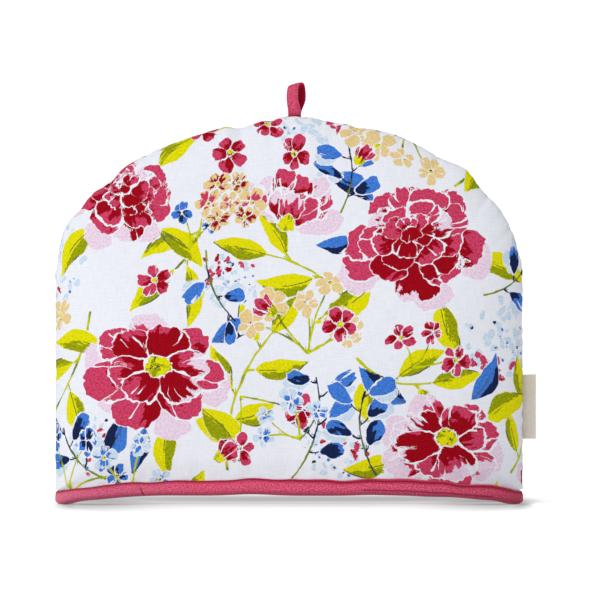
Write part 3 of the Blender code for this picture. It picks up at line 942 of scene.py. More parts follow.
def flower_head(cloth, centre, size, lean, seed):
    """A pale blue head of many small petals, with rose dabs along one side and dark specks."""
    motif = Motif(cloth, centre, size * 1.35, 1.0, seed)
    chance = motif.chance
    for _ in range(46):
        base = centre + toward(size * 0.92 * math.sqrt(chance.random()), chance.uniform(0, 360))
        small = petal(motif.places, base, chance.uniform(0, 360), size * chance.uniform(0.16, 0.30),
                      size * chance.uniform(0.10, 0.19), 0.3) + 0.5 * motif.clouds(2, seed)
        motif.clear(small, ("sky",))
        motif.line("bare", small - 0.35, 0.35 * chance.uniform(0, 1.2))
        motif.colour("sky", small)
    for _ in range(17):
        base = centre + toward(size * chance.uniform(0.50, 1.06), lean + chance.uniform(-80, 80))
        dab = petal(motif.places, base, chance.uniform(0, 360), size * chance.uniform(0.14, 0.26),
                    size * chance.uniform(0.09, 0.16), 0.3) + 0.5 * motif.clouds(1.8, seed + 1)
        motif.mark("rose", dab)
        if chance.random() < 0.5:
            motif.colour("crimson", dab, 1.5 * motif.clouds(2.4, seed + 2))
    for number in range(16):
        at = centre + toward(size * chance.uniform(0.1, 0.95), chance.uniform(0, 360))
        motif.colour("blue" if number % 3 else "navy", spot(motif.places, at, chance.uniform(0.7, 1.5)))


# %% Stems and leaves
def stem(cloth, ends, widths, bow, dark, seed):
    """A thin stem, lime or darker, whose tone runs from one value to the other with darker touches."""
    start, end = np.array(ends, float)
    long = np.hypot(*(end - start))
    reach = np.abs(end - start).max() / 2 + abs(bow) * long + 3
    motif = Motif(cloth, (start + end) / 2, reach, 0.35, seed)
    side, half, share = bowed_line(motif.places, ends, widths, bow)
    half = half + 0.22 * noise(share * long / 5, share * 0, seed + 5)
    touches = 0.45 * np.clip(noise(share * long / 9, share * 0, seed + 6) * 2 - 0.4, 0, 1)
    motif.line("drawn", side, half, dark[0] + (dark[1] - dark[0]) * share + touches)


def leaf(cloth, base, heading, length, width, bend, inks, shade_side, seed):
    """A pointed leaf: half its width is a sine's power along a bent rib. One half is shaded, in strokes."""
    motif = Motif(cloth, base + toward(length / 2, heading), length * 0.75, 0.45, seed)
    chance = motif.chance
    along, across = along_across(motif.places, base, heading)
    part = np.clip(along / length, 0, 1)
    across = across - bend * length * 4 * part * (1 - part)
    half = width / 2 * np.sin(math.pi * part ** 0.82) ** 1.1
    half = half * (1 + 0.16 * noise(along / 7, np.sign(across) * 3 + 9.5, seed))
    outside = np.hypot(along - part * length, across) - half
    motif.clear(outside)
    motif.line("bare", outside - 0.3, 0.3 * chance.uniform(0, 1.4))
    motif.colour(inks[0], outside)
    shade = (width * chance.uniform(0.02, 0.16) - shade_side * across) * 0.8
    shade = shade + 1.9 * noise(along / (0.25 * length) + 3, across / 1.7, seed + 1)
    shade = shade + 5 * np.maximum(np.abs(part - chance.uniform(0.35, 0.65)) - chance.uniform(0.18, 0.40), 0)
    motif.colour(inks[1], outside + 0.25, shade * 0.7)
    # A darker line down part of the shaded edge, and one down part of the rib.
    tone = 0.75 if inks[0] == "lime" else 1.0
    edge = 0.55 - 6 * np.maximum(np.abs(part - chance.uniform(0.1, 0.9)) - chance.uniform(0.0, 0.16), 0)
    motif.line("drawn", outside + 0.3, np.where(across * shade_side > -0.3, edge, -UNPRINTED), tone)
    rib = 0.40 - 5 * np.maximum(np.abs(part - 0.25) - chance.uniform(0.0, 0.30), 0)
    motif.line("drawn", across, np.where(outside < -0.5, rib, -UNPRINTED), tone * 0.8)
    motif.brush(outside < 1.0, across, along * 0.25, seed)


def heading_at(ends, bow, share):
    """The direction of a bowed line at a share of its way, in degrees."""
    run = bowed_point(ends, bow, min(share + 0.05, 1)) - bowed_point(ends, bow, share - 0.05)
    return math.degrees(math.atan2(run[1], run[0]))


def leafy_branch(cloth, ends, bow, count, length, width, seed):
    """A lime stem with leaves in turn to either side, and one at its tip."""
    chance, inks, dark = np.random.default_rng(seed), ("lime", "olive"), (0.1, 0.1)
    stem(cloth, ends, (2.2, 1.4), bow, dark, seed)
    for number in range(count):
        share = (number + 0.7) / (count + 0.4)
        side = 1 if (number + seed) % 2 else -1
        at = bowed_point(ends, bow, share)
        way = heading_at(ends, bow, share) + side * (46 + chance.uniform(-12, 12))
        grown = length * chance.uniform(0.75, 1.12)
        foot = at + toward(grown * 0.16, way)
        stem(cloth, (at, foot), (1.5, 1.5), 0.0, dark, seed + number)
        shade_side = side if chance.random() < 0.6 else -side
        leaf(cloth, foot - toward(0.8, way), way, grown, width * chance.uniform(0.8, 1.15),
             side * chance.uniform(0.0, 0.14), inks, shade_side, seed * 31 + number)
    way = heading_at(ends, bow, 0.95)
    tip = ends[1] - toward(1, way)
    leaf(cloth, tip, way, length, width, chance.uniform(-0.08, 0.08), inks, 1, seed * 31 + 29)


# %% Blue sprigs and sprays
def blue_sprig(cloth, ends, bow, count, size, seed):
    """A fine dark stem of rounded blue leaves, navy at their roots, some with a pale wash beside them."""
    chance = np.random.default_rng(seed)
    stem(cloth, ends, (1.5, 1.1), bow, (0.35, 1.0), seed)
    for number in range(count):
        share = min(0.22 + 0.80 * (number + 0.5) / count, 1)
        side = 1 if number % 2 else -1
        way = heading_at(ends, bow, share) + side * chance.uniform(34, 70)
        at = bowed_point(ends, bow, share)
        root = at + toward(size * chance.uniform(0.3, 0.6), way)
        stem(cloth, (at, root), (1.2, 1.2), 0.1 * side, (1.0, 1.0), seed + number)
        motif = Motif(cloth, root, size * 1.7, 0.4, seed + number, chance)
        if chance.random() < 0.45:
            motif.pale_petal(root, way + side * 24, size * 1.2, size * 0.7, "sky")
        motif.brushed_petal(root, way, size * chance.uniform(1.0, 1.5), size * chance.uniform(0.55, 0.8),
                            dark=chance.uniform(-0.1, 0.75), gap=0.7, inks=("blue", "navy"), ragged=0.7,
                            streaks=int(chance.random() < 0.3))


def spray(cloth, root, heading, reach, count, size, inks, seed):
    """Fine stems fanned from one root, each ending in a blossom."""
    chance = np.random.default_rng(seed)
    for number in range(count):
        way = heading + (number - (count - 1) / 2) * (150 / count) + chance.uniform(-6, 6)
        tip = root + toward(reach * chance.uniform(0.62, 1.1), way)
        stem(cloth, (root, tip), (1.5, 1.1), chance.uniform(-0.12, 0.12), (0.0, 0.25), seed + number)
        blossom(cloth, tip, size * chance.uniform(0.8, 1.1), chance.uniform(0, 72), seed * 17 + number, inks,
                None if number % 2 else "lime")


# %% The layout of one repeat
LIME, BLUE, PINK, WASHED = ("lime", "olive"), ("blue", "navy"), ("rose", "crimson"), ("sky", "blue")
PEACH = ("peach", None)
# Each kind of motif in the order that it is printed: its function, its first seed and the step to the next,
# and a row of values for each one. Places are across and up in millimetres, 0 across at the middle of the
# front and 0 up at its hem.
LAYOUT = (
    (flower_head, 1, 1, (
        ((-178, 172), 31, 200), ((164, 106), 33, 250), ((12, 290), 31, 20), ((-44, 150), 23, 120),
        ((32, 20), 24, 60), ((-150, 30), 22, 330))),
    (leafy_branch, 11, 1, (
        (((-46, 6), (-12, 112)), 0.10, 5, 42, 15), (((52, 120), (-16, 172)), -0.12, 3, 44, 16),
        (((124, 226), (158, 290)), -0.12, 3, 44, 17), (((50, 92), (108, 74)), -0.15, 3, 42, 16),
        (((-150, 130), (-196, 50)), 0.10, 4, 40, 15), (((-64, 206), (-86, 160)), 0.10, 2, 48, 17),
        (((172, 10), (202, 92)), -0.10, 4, 42, 15), (((202, 200), (186, 274)), 0.14, 3, 42, 16),
        (((-120, 262), (-60, 300)), 0.14, 3, 40, 15))),
    (leaf, 400, 1, (
        ((62, 150), 215, 54, 20, 0.08, LIME, -1), ((112, 138), 292, 50, 18, -0.08, LIME, 1),
        ((138, 168), -18, 50, 19, 0.10, LIME, -1), ((64, 214), 152, 46, 16, -0.10, BLUE, 1),
        ((132, 222), 42, 46, 17, 0.10, LIME, -1), ((52, 186), 190, 34, 14, 0.10, BLUE, 1),
        ((-66, 54), 305, 56, 20, 0.10, LIME, -1), ((-88, 44), 268, 46, 17, -0.10, LIME, 1),
        ((-124, 50), 238, 46, 18, 0.10, BLUE, -1), ((-140, 100), 170, 46, 18, -0.10, LIME, 1),
        ((-58, 104), 18, 42, 16, 0.10, BLUE, -1), ((-108, 40), 252, 38, 15, 0.05, BLUE, 1),
        ((88, 58), 142, 46, 18, 0.10, BLUE, -1), ((150, 46), 28, 48, 19, 0.10, LIME, 1),
        ((138, 62), 62, 42, 16, -0.10, BLUE, -1), ((80, 16), 192, 42, 16, 0.10, LIME, 1),
        ((-98, 192), 318, 46, 18, 0.10, LIME, -1), ((-146, 194), 232, 48, 18, -0.10, LIME, 1),
        ((-154, 232), 162, 38, 15, 0.10, BLUE, -1), ((-98, 242), 40, 42, 16, 0.10, LIME, 1),
        ((186, 292), 200, 52, 19, 0.1, LIME, -1))),
    (blue_sprig, 21, 1, (
        (((2, 0), (20, 78)), -0.12, 6, 17), (((66, 2), (56, 66)), 0.12, 5, 17),
        (((-140, 2), (-176, 44)), 0.12, 4, 16), (((36, 200), (44, 262)), -0.10, 5, 16),
        (((-172, 256), (-200, 304)), -0.10, 4, 16), (((146, 142), (190, 172)), -0.10, 4, 16),
        (((-62, 176), (-40, 120)), -0.10, 3, 14))),
    (spray, 31, 1, (
        ((14, 96), 84, 52, 6, 13, PEACH), ((96, 284), 222, 44, 5, 13, PEACH),
        ((-196, 92), 120, 46, 4, 13, PEACH))),
    (spray, 131, 7, (
        ((-36, 62), 305, 44, 2, 14, PINK), ((92, 84), 62, 34, 3, 12, PINK),
        ((-172, -6), 62, 56, 3, 11, BLUE), ((-122, -8), 70, 34, 3, 10, WASHED),
        ((176, 200), 30, 30, 3, 12, PINK), ((-74, 176), 100, 36, 3, 9, BLUE),
        ((8, 30), 120, 30, 4, 9, WASHED))),
    (stem, 41, 1, ((((-98, 258), (52, 288)), (2.2, 1.5), 0.06, (0.0, 0.0)),)),
    (blossom, 50, 1, (
        ((-66, 276), 14, 8), ((-44, 253), 15, 40), ((-16, 278), 13, 20), ((4, 252), 15, 60),
        ((66, 288), 14, 10), ((-100, 152), 13, 30), ((38, 118), 14, 50))),
    (full_bloom, 3, 4, (((94, 184), 52, 110), ((-124, 222), 40, 60), ((214, 318), 36, 30))),
    (open_bloom, 5, 3, (((-98, 84), 50, 80), ((118, 30), 43, 95))),
    (side_bloom, 12, 1, (((-2, 196), 70, 40),)),
    (posy, 61, 1, (((-44, 214), 25), ((180, 232), 23))),
    (bud, 71, 1, (((-12, 128), 150, 13), ((52, 246), 60, 12), ((-52, 16), 40, 13))),
)


def print_design(places):
    """A cloth of those places with every motif of the layout printed on it, each with its own seed."""
    cloth = PrintedCloth(places)
    for draw, first_seed, step, rows in LAYOUT:
        for number, row in enumerate(rows):
            draw(cloth, *row, seed=first_seed + number * step)
    return cloth


# %% Print both panels
# Both are cut from the same cloth, the back from another part of it. Seen from behind, its across runs
# the other way.
BACK_WINDOW = (215.0, 160.0)

front_places = cloth_places.reshape(-1, 2) * 1000
for panel, places in ((front_panel, front_places), (back_panel, front_places * (-1, 1) + BACK_WINDOW)):
    cloth = print_design(places)
    unseen = len(panel.data.vertices) - len(places)
    for suffix, held, unmarked in (("", cloth.ink, UNPRINTED), ("_half", cloth.half, -UNPRINTED),
                                   ("_dark", {"drawn": cloth.dark}, 0.0)):
        for name, values in held.items():
            add_values(panel.data, name + suffix, np.append(values, np.full(unseen, unmarked)))
    add_values(panel.data, "brush", np.append(cloth.brush, np.zeros((unseen, 3)), axis=0), "FLOAT_VECTOR")
    print(panel.name, {name: round(float((cloth.ink[name] < 0).mean()), 3) for name in SCREENS})

# %% [markdown]
# ## Printed cotton, as a material
#
# Plain-weave cotton, screen-printed with pigment. It is matt: threads scatter the light, and the pigment
# lies on them without gloss. Each screen's number is roughened by noise, drawn out along the brush, and cut
# at zero, so its edge is crisp but uneven, and a deeper tint of the same ink mottles it where more went on.
# The real weave has a thread about every 0.45 mm, too fine to show, so it is drawn at 1.3 mm and faintly.

# %% Inks
DRAWN_THREAD_MM = 1.3
EDGE_MM = 0.12          # an edge is just soft enough not to flicker
# Each screen's ink, the deeper tint that mottles it, how ragged its edge is, and how far the brush shows.
INKS = {
    "blush": ("#EFD8EB", "#D7C2D5", 0.9, 0.8), "sky": ("#CFE1F1", "#B9CDE1", 0.9, 1.0),
    "peach": ("#EACF98", "#D8BD7B", 0.8, 0.9), "lime": ("#E5E108", "#CEC800", 0.6, 0.8),
    "rose": ("#D1476C", "#B4284B", 0.9, 1.6), "blue": ("#4782DB", "#2D64BB", 0.8, 1.6),
    "olive": ("#A0A90C", "#7C8300", 1.1, 3.2), "crimson": ("#A4021A", "#82000A", 1.1, 3.6),
    "navy": ("#192752", "#0B193C", 0.8, 2.0),
}


# %% What the cotton materials share
def place_in_mm(add):
    """The place on the flat cloth in millimetres: its place on the cloth's map, times 1000."""
    return add("VectorMath.MULTIPLY", add("UVMap", uv_map="cloth"), (1000, 1000, 1000))


def weave_height(add, in_mm, thread_mm):
    """A plain weave: the product of a sine across and a sine up, so that threads pass over and under."""
    split, turn = add("SeparateXYZ", in_mm), math.pi / thread_mm
    sines = [add("Math.SINE", add("Math.MULTIPLY", split.outputs[axis], turn)) for axis in ("X", "Y")]
    return add("Math.MULTIPLY", *sines)


def stitch_dashes(add, off_line, along, stitch_mm, line_edge, dash_edge):
    """Thread, from 0 to 1: near the stitches' line, and within the middle of each stitch's length."""
    part = add("Math.FRACT", add("Math.MULTIPLY", along, 1 / stitch_mm))
    on_line = add("MapRange", off_line, *line_edge)
    on_dash = add("MapRange", add("Math.ABSOLUTE", add("Math.SUBTRACT", part, 0.5)), *dash_edge)
    return add("Math.MULTIPLY", on_line, on_dash)


# %% Printed cotton
printed_cotton, add, shader = new_material("screen_printed_plain_weave_cotton")
in_mm = place_in_mm(add)
grain = add("TexNoise", in_mm, Scale=0.95, Detail=1.5, Roughness=0.6)
wander = add("TexNoise", in_mm, Scale=0.30, Detail=1.0)
how_ragged = add("MapRange", add("TexNoise", in_mm, Scale=0.085, Detail=1.0), 0.42, 0.62, 0.5, 2.6)
# Noise runs about 0.5, so that is taken off it, and it moves an edge as far out as in.
rough_edge = add("Math.MULTIPLY", add("Math.SUBTRACT", grain, 0.5), how_ragged)
rough_edge = add("Math.MULTIPLY_ADD", add("Math.SUBTRACT", wander, 0.5), 1.4, rough_edge)
# The brush's own place is in millimetres across it and, drawn out, along it, so this noise runs in streaks.
brush = add("Attribute", attribute_name="brush").outputs["Vector"]
bristles = add("Math.SUBTRACT", add("TexNoise", brush, Scale=0.85, Detail=1.5), 0.5)
blotches = add("TexNoise", in_mm, Scale=0.62, Detail=2.5, Roughness=0.65)
deeper = add("MapRange", blotches, 0.40, 0.66)


def printed_on(under, outside, colour):
    """A colour over another wherever the distance outside its mark is less than nothing."""
    return add("Mix.RGBA", add("MapRange", outside, EDGE_MM, -EDGE_MM), under, colour)


printed = ground = add("Mix.RGBA", grain, "#E6E8F1", "#EBEDF5")
for screen in SCREENS:
    ink, deep_ink, ragged, brushed = INKS[screen]
    outside = add("Attribute", attribute_name=screen).outputs["Fac"]
    outside = add("Math.MULTIPLY_ADD", rough_edge, ragged, outside)
    outside = add("Math.MULTIPLY_ADD", bristles, brushed, outside)
    printed = printed_on(printed, outside, add("Mix.RGBA", deeper, ink, deep_ink))
# A line is where its middle lies nearer than half its width. Stems run from lime through olive to navy.
stem_tone = add("ValToRGB", add("Attribute", attribute_name="drawn_dark").outputs["Fac"])
stem_tone.color_ramp.elements[0].color = linear("#CDD204")
stem_tone.color_ramp.elements[1].color = linear("#15214F")
stem_tone.color_ramp.elements.new(0.45).color = linear("#7C8A0C")
for line, colour in (("bare", ground), ("drawn", stem_tone)):
    side, half = (add("Attribute", attribute_name=name).outputs["Fac"] for name in (line, line + "_half"))
    outside = add("Math.SUBTRACT", add("Math.ABSOLUTE", side), half)
    printed = printed_on(printed, add("Math.MULTIPLY_ADD", rough_edge, 0.45, outside), colour)

weave = weave_height(add, in_mm, DRAWN_THREAD_MM)
# Yarn is uneven along its length, so each way of the cloth has its own drawn-out noise.
slubs = [add("TexNoise", add("Mapping", in_mm, Scale=scale), Scale=1.0, Detail=1.0)
         for scale in ((0.10, 0.85, 1.0), (0.85, 0.10, 1.0))]
uneven = add("Math.ADD", *slubs)
thread_tone = add("MapRange", weave, -1, 1, 0.985, 1)
tone = add("Math.MULTIPLY", thread_tone, add("MapRange", uneven, 0.75, 1.25, 0.945, 1.01))
height = add("Math.MULTIPLY_ADD", uneven, 0.8, weave)
fill_in(shader, {"Base Color": add("VectorMath.SCALE", printed, tone),
                 "Normal": add("Bump", Height=height, Strength=0.35, Distance=0.00012),
                 "Roughness": 0.88, "Specular IOR Level": 0.08})
for panel in (front_panel, back_panel):
    panel.data.materials.append(printed_cotton)
print("printed cotton:", len(printed_cotton.node_tree.nodes), "nodes")

# %% [markdown]
# ## The hem binding
#
# The raw hem is closed by a strip of pink cotton that shows 28 mm over both faces, folded over it and
# stitched through just under its top edge. It was sewn flat, so on the curve it rolls a little and wrinkles
# here and there, and its ends overlap in a short slanting join. The strip is one profile carried round the
# hem: a rounded outside, a lip, and the channel that holds the panels. A bevelled curve would make the same
# tube, but not the channel or the wrinkles.

# %% Path of the hem
BINDING_STEPS, PROFILE_POINTS = 760, 84


def even_path(points, count):
    """The same closed path with evenly spaced points, and its length."""
    closed = np.concatenate([points, points[:1]])
    length = running_length(closed)
    places = np.linspace(0, length[-1], count + 1)
    return np.stack([np.interp(places, length, way) for way in closed.T], -1), length[-1]


def hem_path():
    """The middle of the panels' raw edge, anticlockwise from the middle of the front: an ellipse."""
    turn = np.linspace(0, 2 * math.pi, 6000, endpoint=False) - math.pi / 2
    half_across, half_deep = HALF_WIDTH - WALL / 2, HALF_DEPTH - WALL / 2
    return even_path(np.stack([half_across * np.cos(turn), half_deep * np.sin(turn)], -1), BINDING_STEPS)


hem, hem_length = hem_path()
print(f"the hem is {hem_length * 1000:.0f} mm round")

# %% Profile of the strip
WIDEST_UP, ROUND_UNDER, SQUARE_OVER = 0.0050, 2.3, 4.5      # its widest place, and its two superellipses
LIP_TURN = math.radians(66)
CHANNEL = RAW_EDGE / 2 + SEAM_GAP


def strip_profile():
    """The strip cut across, outwards and up: a superellipse outside, a round lip, and a square channel.

    It starts at the middle of the underside, goes up the outside, down the channel and back by the inside.
    The superellipse is rounder under its widest place than over it.
    """
    turn = np.linspace(-math.pi / 2, LIP_TURN, 200)
    power = np.where(turn < 0, ROUND_UNDER, SQUARE_OVER)
    out = BINDING_HALF * rounded(np.cos(turn), power)
    up = WIDEST_UP + np.where(turn < 0, WIDEST_UP, BINDING_HEIGHT - WIDEST_UP) * rounded(np.sin(turn), power)
    top, floor_up = BINDING_HEIGHT, BINDING_FLOOR
    lip = np.array([(CHANNEL + 0.0007, top - 0.0001), (CHANNEL + 0.0003, top - 0.00015),
                    (CHANNEL, top - 0.0006), (CHANNEL, floor_up + 0.0006),
                    (CHANNEL - 0.0005, floor_up), (0.0, floor_up)])
    half = np.concatenate([np.stack([out, up], -1), lip])
    return even_path(np.concatenate([half, half[-2:0:-1] * (-1, 1)]), PROFILE_POINTS)


profile, profile_length = strip_profile()
print(f"the strip's profile is {profile_length * 1000:.0f} mm round, with its channel")

# %% Wrinkles of the strip
STITCH_MM, STITCH_BELOW = 2.6, (0.0009, 0.0022)     # a stitch's length, its line's depth left and right
# The slanting join, and the long fold low on the right: places along from the middle of the front, heights.
JOIN_ALONG, JOIN_SLOPE, JOIN_TOP = -0.1098, 0.36, 0.0068
FOLD_ALONG, FOLD_HIGH, FOLD_SLOPE, FOLD_HALF = 0.104, 0.0034, -0.010, 0.048
# How deep the stitches pull in, how wide and how much deeper at each one, how far the strip rolls, how high
# and long the join's upper layer stands out, and how deep and wide the fold is.
STITCH_DEEP, STITCH_SOFT, STITCH_BEAT, ROLL_DEEP = 0.00055, 0.0007, 0.35, 0.00016
JOIN_RISE, JOIN_RUN, FOLD_DEEP, FOLD_SOFT = 0.00030, 0.006, 0.00045, 0.0007
# Folds: along from the middle of the front, height, half length, half width and depth in millimetres, slope.
STRIP_FOLDS = np.array([
    (18, 3.0, 26, 0.7, 0.30, 0.01), (-52, 3.4, 22, 0.8, 0.25, -0.01), (60, 9.0, 18, 0.8, 0.20, -0.02),
    (-140, 8.0, 16, 0.8, 0.22, 0.03), (-20, 8.8, 20, 0.8, 0.20, 0.02), (158, 7.5, 5, 0.9, 0.35, 0.5),
    (-166, 7.0, 5, 0.9, 0.30, -0.5), (178, 6.0, 4, 0.9, 0.40, 0.8), (-180, 6.5, 4, 0.9, 0.40, -0.7),
    (300, 3.8, 30, 0.8, 0.40, 0.0), (-300, 3.6, 26, 0.8, 0.35, 0.01), (360, 8.0, 20, 0.8, 0.25, 0.01),
    (-240, 7.8, 18, 0.8, 0.25, -0.02), (250, 5.0, 3, 0.8, 0.35, 0.9), (-370, 4.4, 16, 0.8, 0.30, 0.0),
    (136, 6.6, 3, 0.8, 0.30, -0.4), (30, 6.4, 3, 0.8, 0.20, 0.5), (-84, 6.0, 3, 0.8, 0.22, 0.4),
])
STEEP, STEEP_HALF = 0.3, 0.007      # a fold of more slope runs up the strip, and how far it does


def round_hem(along, place):
    """The length from a place on the hem, the shorter way round, and negative before it."""
    return (along - place + hem_length / 2) % hem_length - hem_length / 2


def stitch_distance(along, up):
    """How far above the line of stitches, which runs deeper under the strip's edge towards the right."""
    rightwards = smooth((round_hem(along, 0) + 0.04) / 0.12)
    return up - BINDING_HEIGHT + within(STITCH_BELOW, rightwards)


def join_distance(along, up):
    """How far past the slanting line of the join, along the strip. It shows on the lower part only."""
    past = round_hem(along, JOIN_ALONG) - (BINDING_HEIGHT / 2 - up) * JOIN_SLOPE
    return past + np.sign(past) * np.maximum(up - JOIN_TOP, 0)


def fold_distance(along, up):
    """How far above the long fold, which slopes and runs out at both ends."""
    off = round_hem(along, FOLD_ALONG)
    above = up - FOLD_HIGH - FOLD_SLOPE * off
    return above + np.sign(above) * np.maximum(np.abs(off) - FOLD_HALF, 0) * 0.3


def strip_relief(along, up):
    """How far the strip stands in or out, in metres: its stitched groove, join, folds, and rolls."""
    pulled_in = 1 + STITCH_BEAT * np.cos(along * 2 * math.pi / (STITCH_MM / 1000))
    height = ROLL_DEEP * waves(along * 1000, (37.0, 61.0, 23.0), 4)
    height = height - STITCH_DEEP * bell(stitch_distance(along, up) / STITCH_SOFT) * pulled_in
    past_join = join_distance(along, up)
    height = height + JOIN_RISE * np.exp(-np.maximum(past_join, 0) / JOIN_RUN) * (past_join > 0)
    height = height - FOLD_DEEP * bell(fold_distance(along, up) / FOLD_SOFT)
    for place, rise, long, half, deep, slope in STRIP_FOLDS / (1000, 1000, 1000, 1000, 1000, 1):
        off, steep = round_hem(along, place), abs(slope) >= STEEP
        across = off - (up - rise) * slope if steep else up - rise - slope * off
        fade = np.exp(-((up - rise) / STEEP_HALF if steep else off / long) ** 4)
        ridge = 0.5 * bell((across - 2.2 * half) / (1.3 * half))        # the cloth stands up beside a fold
        height = height + deep * fade * (ridge - bell(across / half))
    return height


# %% Build the binding
IN_FRONT, BEHIND_MM = 0.0, 9.0      # added to a line's distance, so that it shows on the outer face only


def build_binding(name):
    """The profile carried round the hem, standing square to it, with its wrinkles pushed in and out."""
    along = np.linspace(0, hem_length, BINDING_STEPS + 1)[:, None]
    forward = np.gradient(hem, axis=0)
    forward[[0, -1]] = hem[1] - hem[-2]
    outward = np.stack([forward[:, 1], -forward[:, 0]], -1)
    outward /= np.linalg.norm(outward, axis=1, keepdims=True)
    out, up = profile.T
    seen = (np.abs(out) > CHANNEL + 0.0002) | (up < BINDING_FLOOR - 0.0002)
    relief = strip_relief(along, up) * np.sign(out) * smooth(np.abs(out) / 0.002) * seen
    up_wave = 0.00022 * waves(along * 1000, (83.0, 47.0, 29.0), 8) * smooth(up / BINDING_HEIGHT) * seen
    flat_across = hem[:, 0] * HALF_WIDTH / (HALF_WIDTH - WALL / 2)
    lip = np.where(hem[:, 1] < 0, lip_height(flat_across, 1), lip_height(flat_across, -1))[:, None]
    ground_plan = hem[:, None] + outward[:, None] * (out + relief)[..., None]
    ground_plan[..., 0] -= (np.sign(flat_across) * end_pull(flat_across))[:, None]
    height = np.maximum(up * lip / BINDING_HEIGHT + up_wave, 0) + hem_lift(flat_across)[:, None]
    points = np.concatenate([ground_plan, height[..., None]], axis=-1)
    row, column = np.divmod(grid_faces(BINDING_STEPS + 1, PROFILE_POINTS + 1), PROFILE_POINTS + 1)
    faces = row % BINDING_STEPS * PROFILE_POINTS + column % PROFILE_POINTS
    made = make_piece(name, points[:-1, :-1], faces.tolist())
    # A face's corners may have been turned to face outwards, so each is found again by its point.
    corners = corner_numbers(made.data).reshape(-1, 4)
    order = (corners[:, :, None] == faces[:, None]).argmax(axis=-1)
    row, column = np.take_along_axis(row, order, 1), np.take_along_axis(column, order, 1)
    cloth = np.stack([row / BINDING_STEPS * hem_length, column / PROFILE_POINTS * profile_length], -1)
    add_map(made.data, "cloth", cloth)
    along, up, face = along[:-1], up[:-1], np.where(out[:-1] > 0, IN_FRONT, BEHIND_MM)
    add_values(made.data, "join", join_distance(along, up) * 1000 + face)
    add_values(made.data, "fold", fold_distance(along, up) * 1000 + face)
    add_values(made.data, "stitch", stitch_distance(along, up) * 1000)
    add_values(made.data, "rise", np.tile(up * 1000, BINDING_STEPS))
    return made


binding = build_binding("rolled_binding")
print("binding:", len(binding.data.polygons), "faces")

# %% [markdown]
# ## Pink cotton
#
# The binding and the loop are cut from the same plain-dyed cotton. It is matt, with a faint bloom where its
# fibres catch the light, and slightly mottled. The binding's stitches are a row of short thread dashes in
# a darker crimson, drawn from the distances that the strip's points hold.

# %% Pink binding cotton
binding_cotton, add, shader = new_material("plain_dyed_pink_cotton")
in_mm = place_in_mm(add)
weave = weave_height(add, in_mm, 1.1)
mottle = add("TexNoise", in_mm, Scale=0.85, Detail=3.0, Roughness=0.75)
pink = add("Mix.RGBA", add("MapRange", mottle, 0.36, 0.64), "#B2193B", "#FA7397")
# Near the left side seam the strip is a little lighter and mauver, and near the right one darker red.
across = add("SeparateXYZ", add("TexCoord").outputs["Object"]).outputs["X"]
pink = add("Mix.RGBA", add("MapRange", across, -0.08, -0.17, 0, 0.20), pink, "#E09CC0")
pink = add("Mix.RGBA", add("MapRange", across, 0.142, 0.168, 0, 0.50), pink, "#AE2A46")
# Painted shade: the strip turns under at the bottom, away from the light above, so it is painted darker
# there, less so near its ends.
least = [add("MapRange", across, *run, 0.48, 0.78) for run in ((-0.10, -0.17), (0.11, 0.155))]
rise = add("Attribute", attribute_name="rise").outputs["Fac"]
painted_underside_shade = add("MapRange", rise, 0, 4.8, add("Math.MAXIMUM", *least), 1, interpolation_type="SMOOTHSTEP")
tone = add("Math.MULTIPLY", add("MapRange", weave, -1, 1, 0.88, 1), painted_underside_shade)
off_line = add("Math.ABSOLUTE", add("Attribute", attribute_name="stitch").outputs["Fac"])
along = add("SeparateXYZ", in_mm).outputs["X"]
thread = stitch_dashes(add, off_line, along, STITCH_MM, (0.60, 0.42), (0.40, 0.34))
# Painted shade: beside the stitches the cloth is painted a darker crimson, for the shade in their groove.
pulled = add("MapRange", off_line, 2.6, 0.5, 0, 0.9)        # the cloth is in shade beside its stitches
sewn = add("Mix.RGBA", pulled, add("VectorMath.SCALE", pink, tone), "#A5183C")
sewn = add("Mix.RGBA", thread, sewn, "#8C0A30")
# Painted shade: dark lines in the groove at the slanting join and in the crease of the long fold.
for line, half, shaded in (("join", 0.34, "#6E1030"), ("fold", 0.40, "#A02A4C")):
    away = add("Math.ABSOLUTE", add("Attribute", attribute_name=line).outputs["Fac"])
    sewn = add("Mix.RGBA", add("MapRange", away, half * 2, half), sewn, shaded)
height = add("Math.MULTIPLY_ADD", thread, 2.0, weave)
fill_in(shader, {"Base Color": sewn,
                 "Normal": add("Bump", Height=height, Strength=0.5, Distance=0.00012),
                 "Roughness": 0.82, "Specular IOR Level": 0.15,
                 "Sheen Weight": 0.15, "Sheen Roughness": 0.45})
binding.data.materials.append(binding_cotton)
print(f"stitches {STITCH_MM} mm long")

# %% [markdown]
# ## The hanging loop
#
# A strip of the same cotton, folded lengthways to under 10 mm and edge-stitched, is doubled into a loop and
# sewn into the crown seam. It leaves the seam flat, opens like a teardrop and turns a little as it rises.
# The strip's middle line and its width are formulas, and a flattened section is carried along them.

# %% Middle line and section of the loop
LOOP_HEIGHT, LOOP_OPEN, LOOP_TURN, LOOP_SKEW, LOOP_TAIL = 0.0233, 0.0056, math.radians(31), 0.24, 0.0066
LOOP_LEAN = 0.0012      # how far its top leans to the right
LOOP_ROWS, LOOP_SIDES, TAIL_ROWS = 200, 36, 8
EDGE_STITCH = 0.0012    # its stitches' distance from its edges


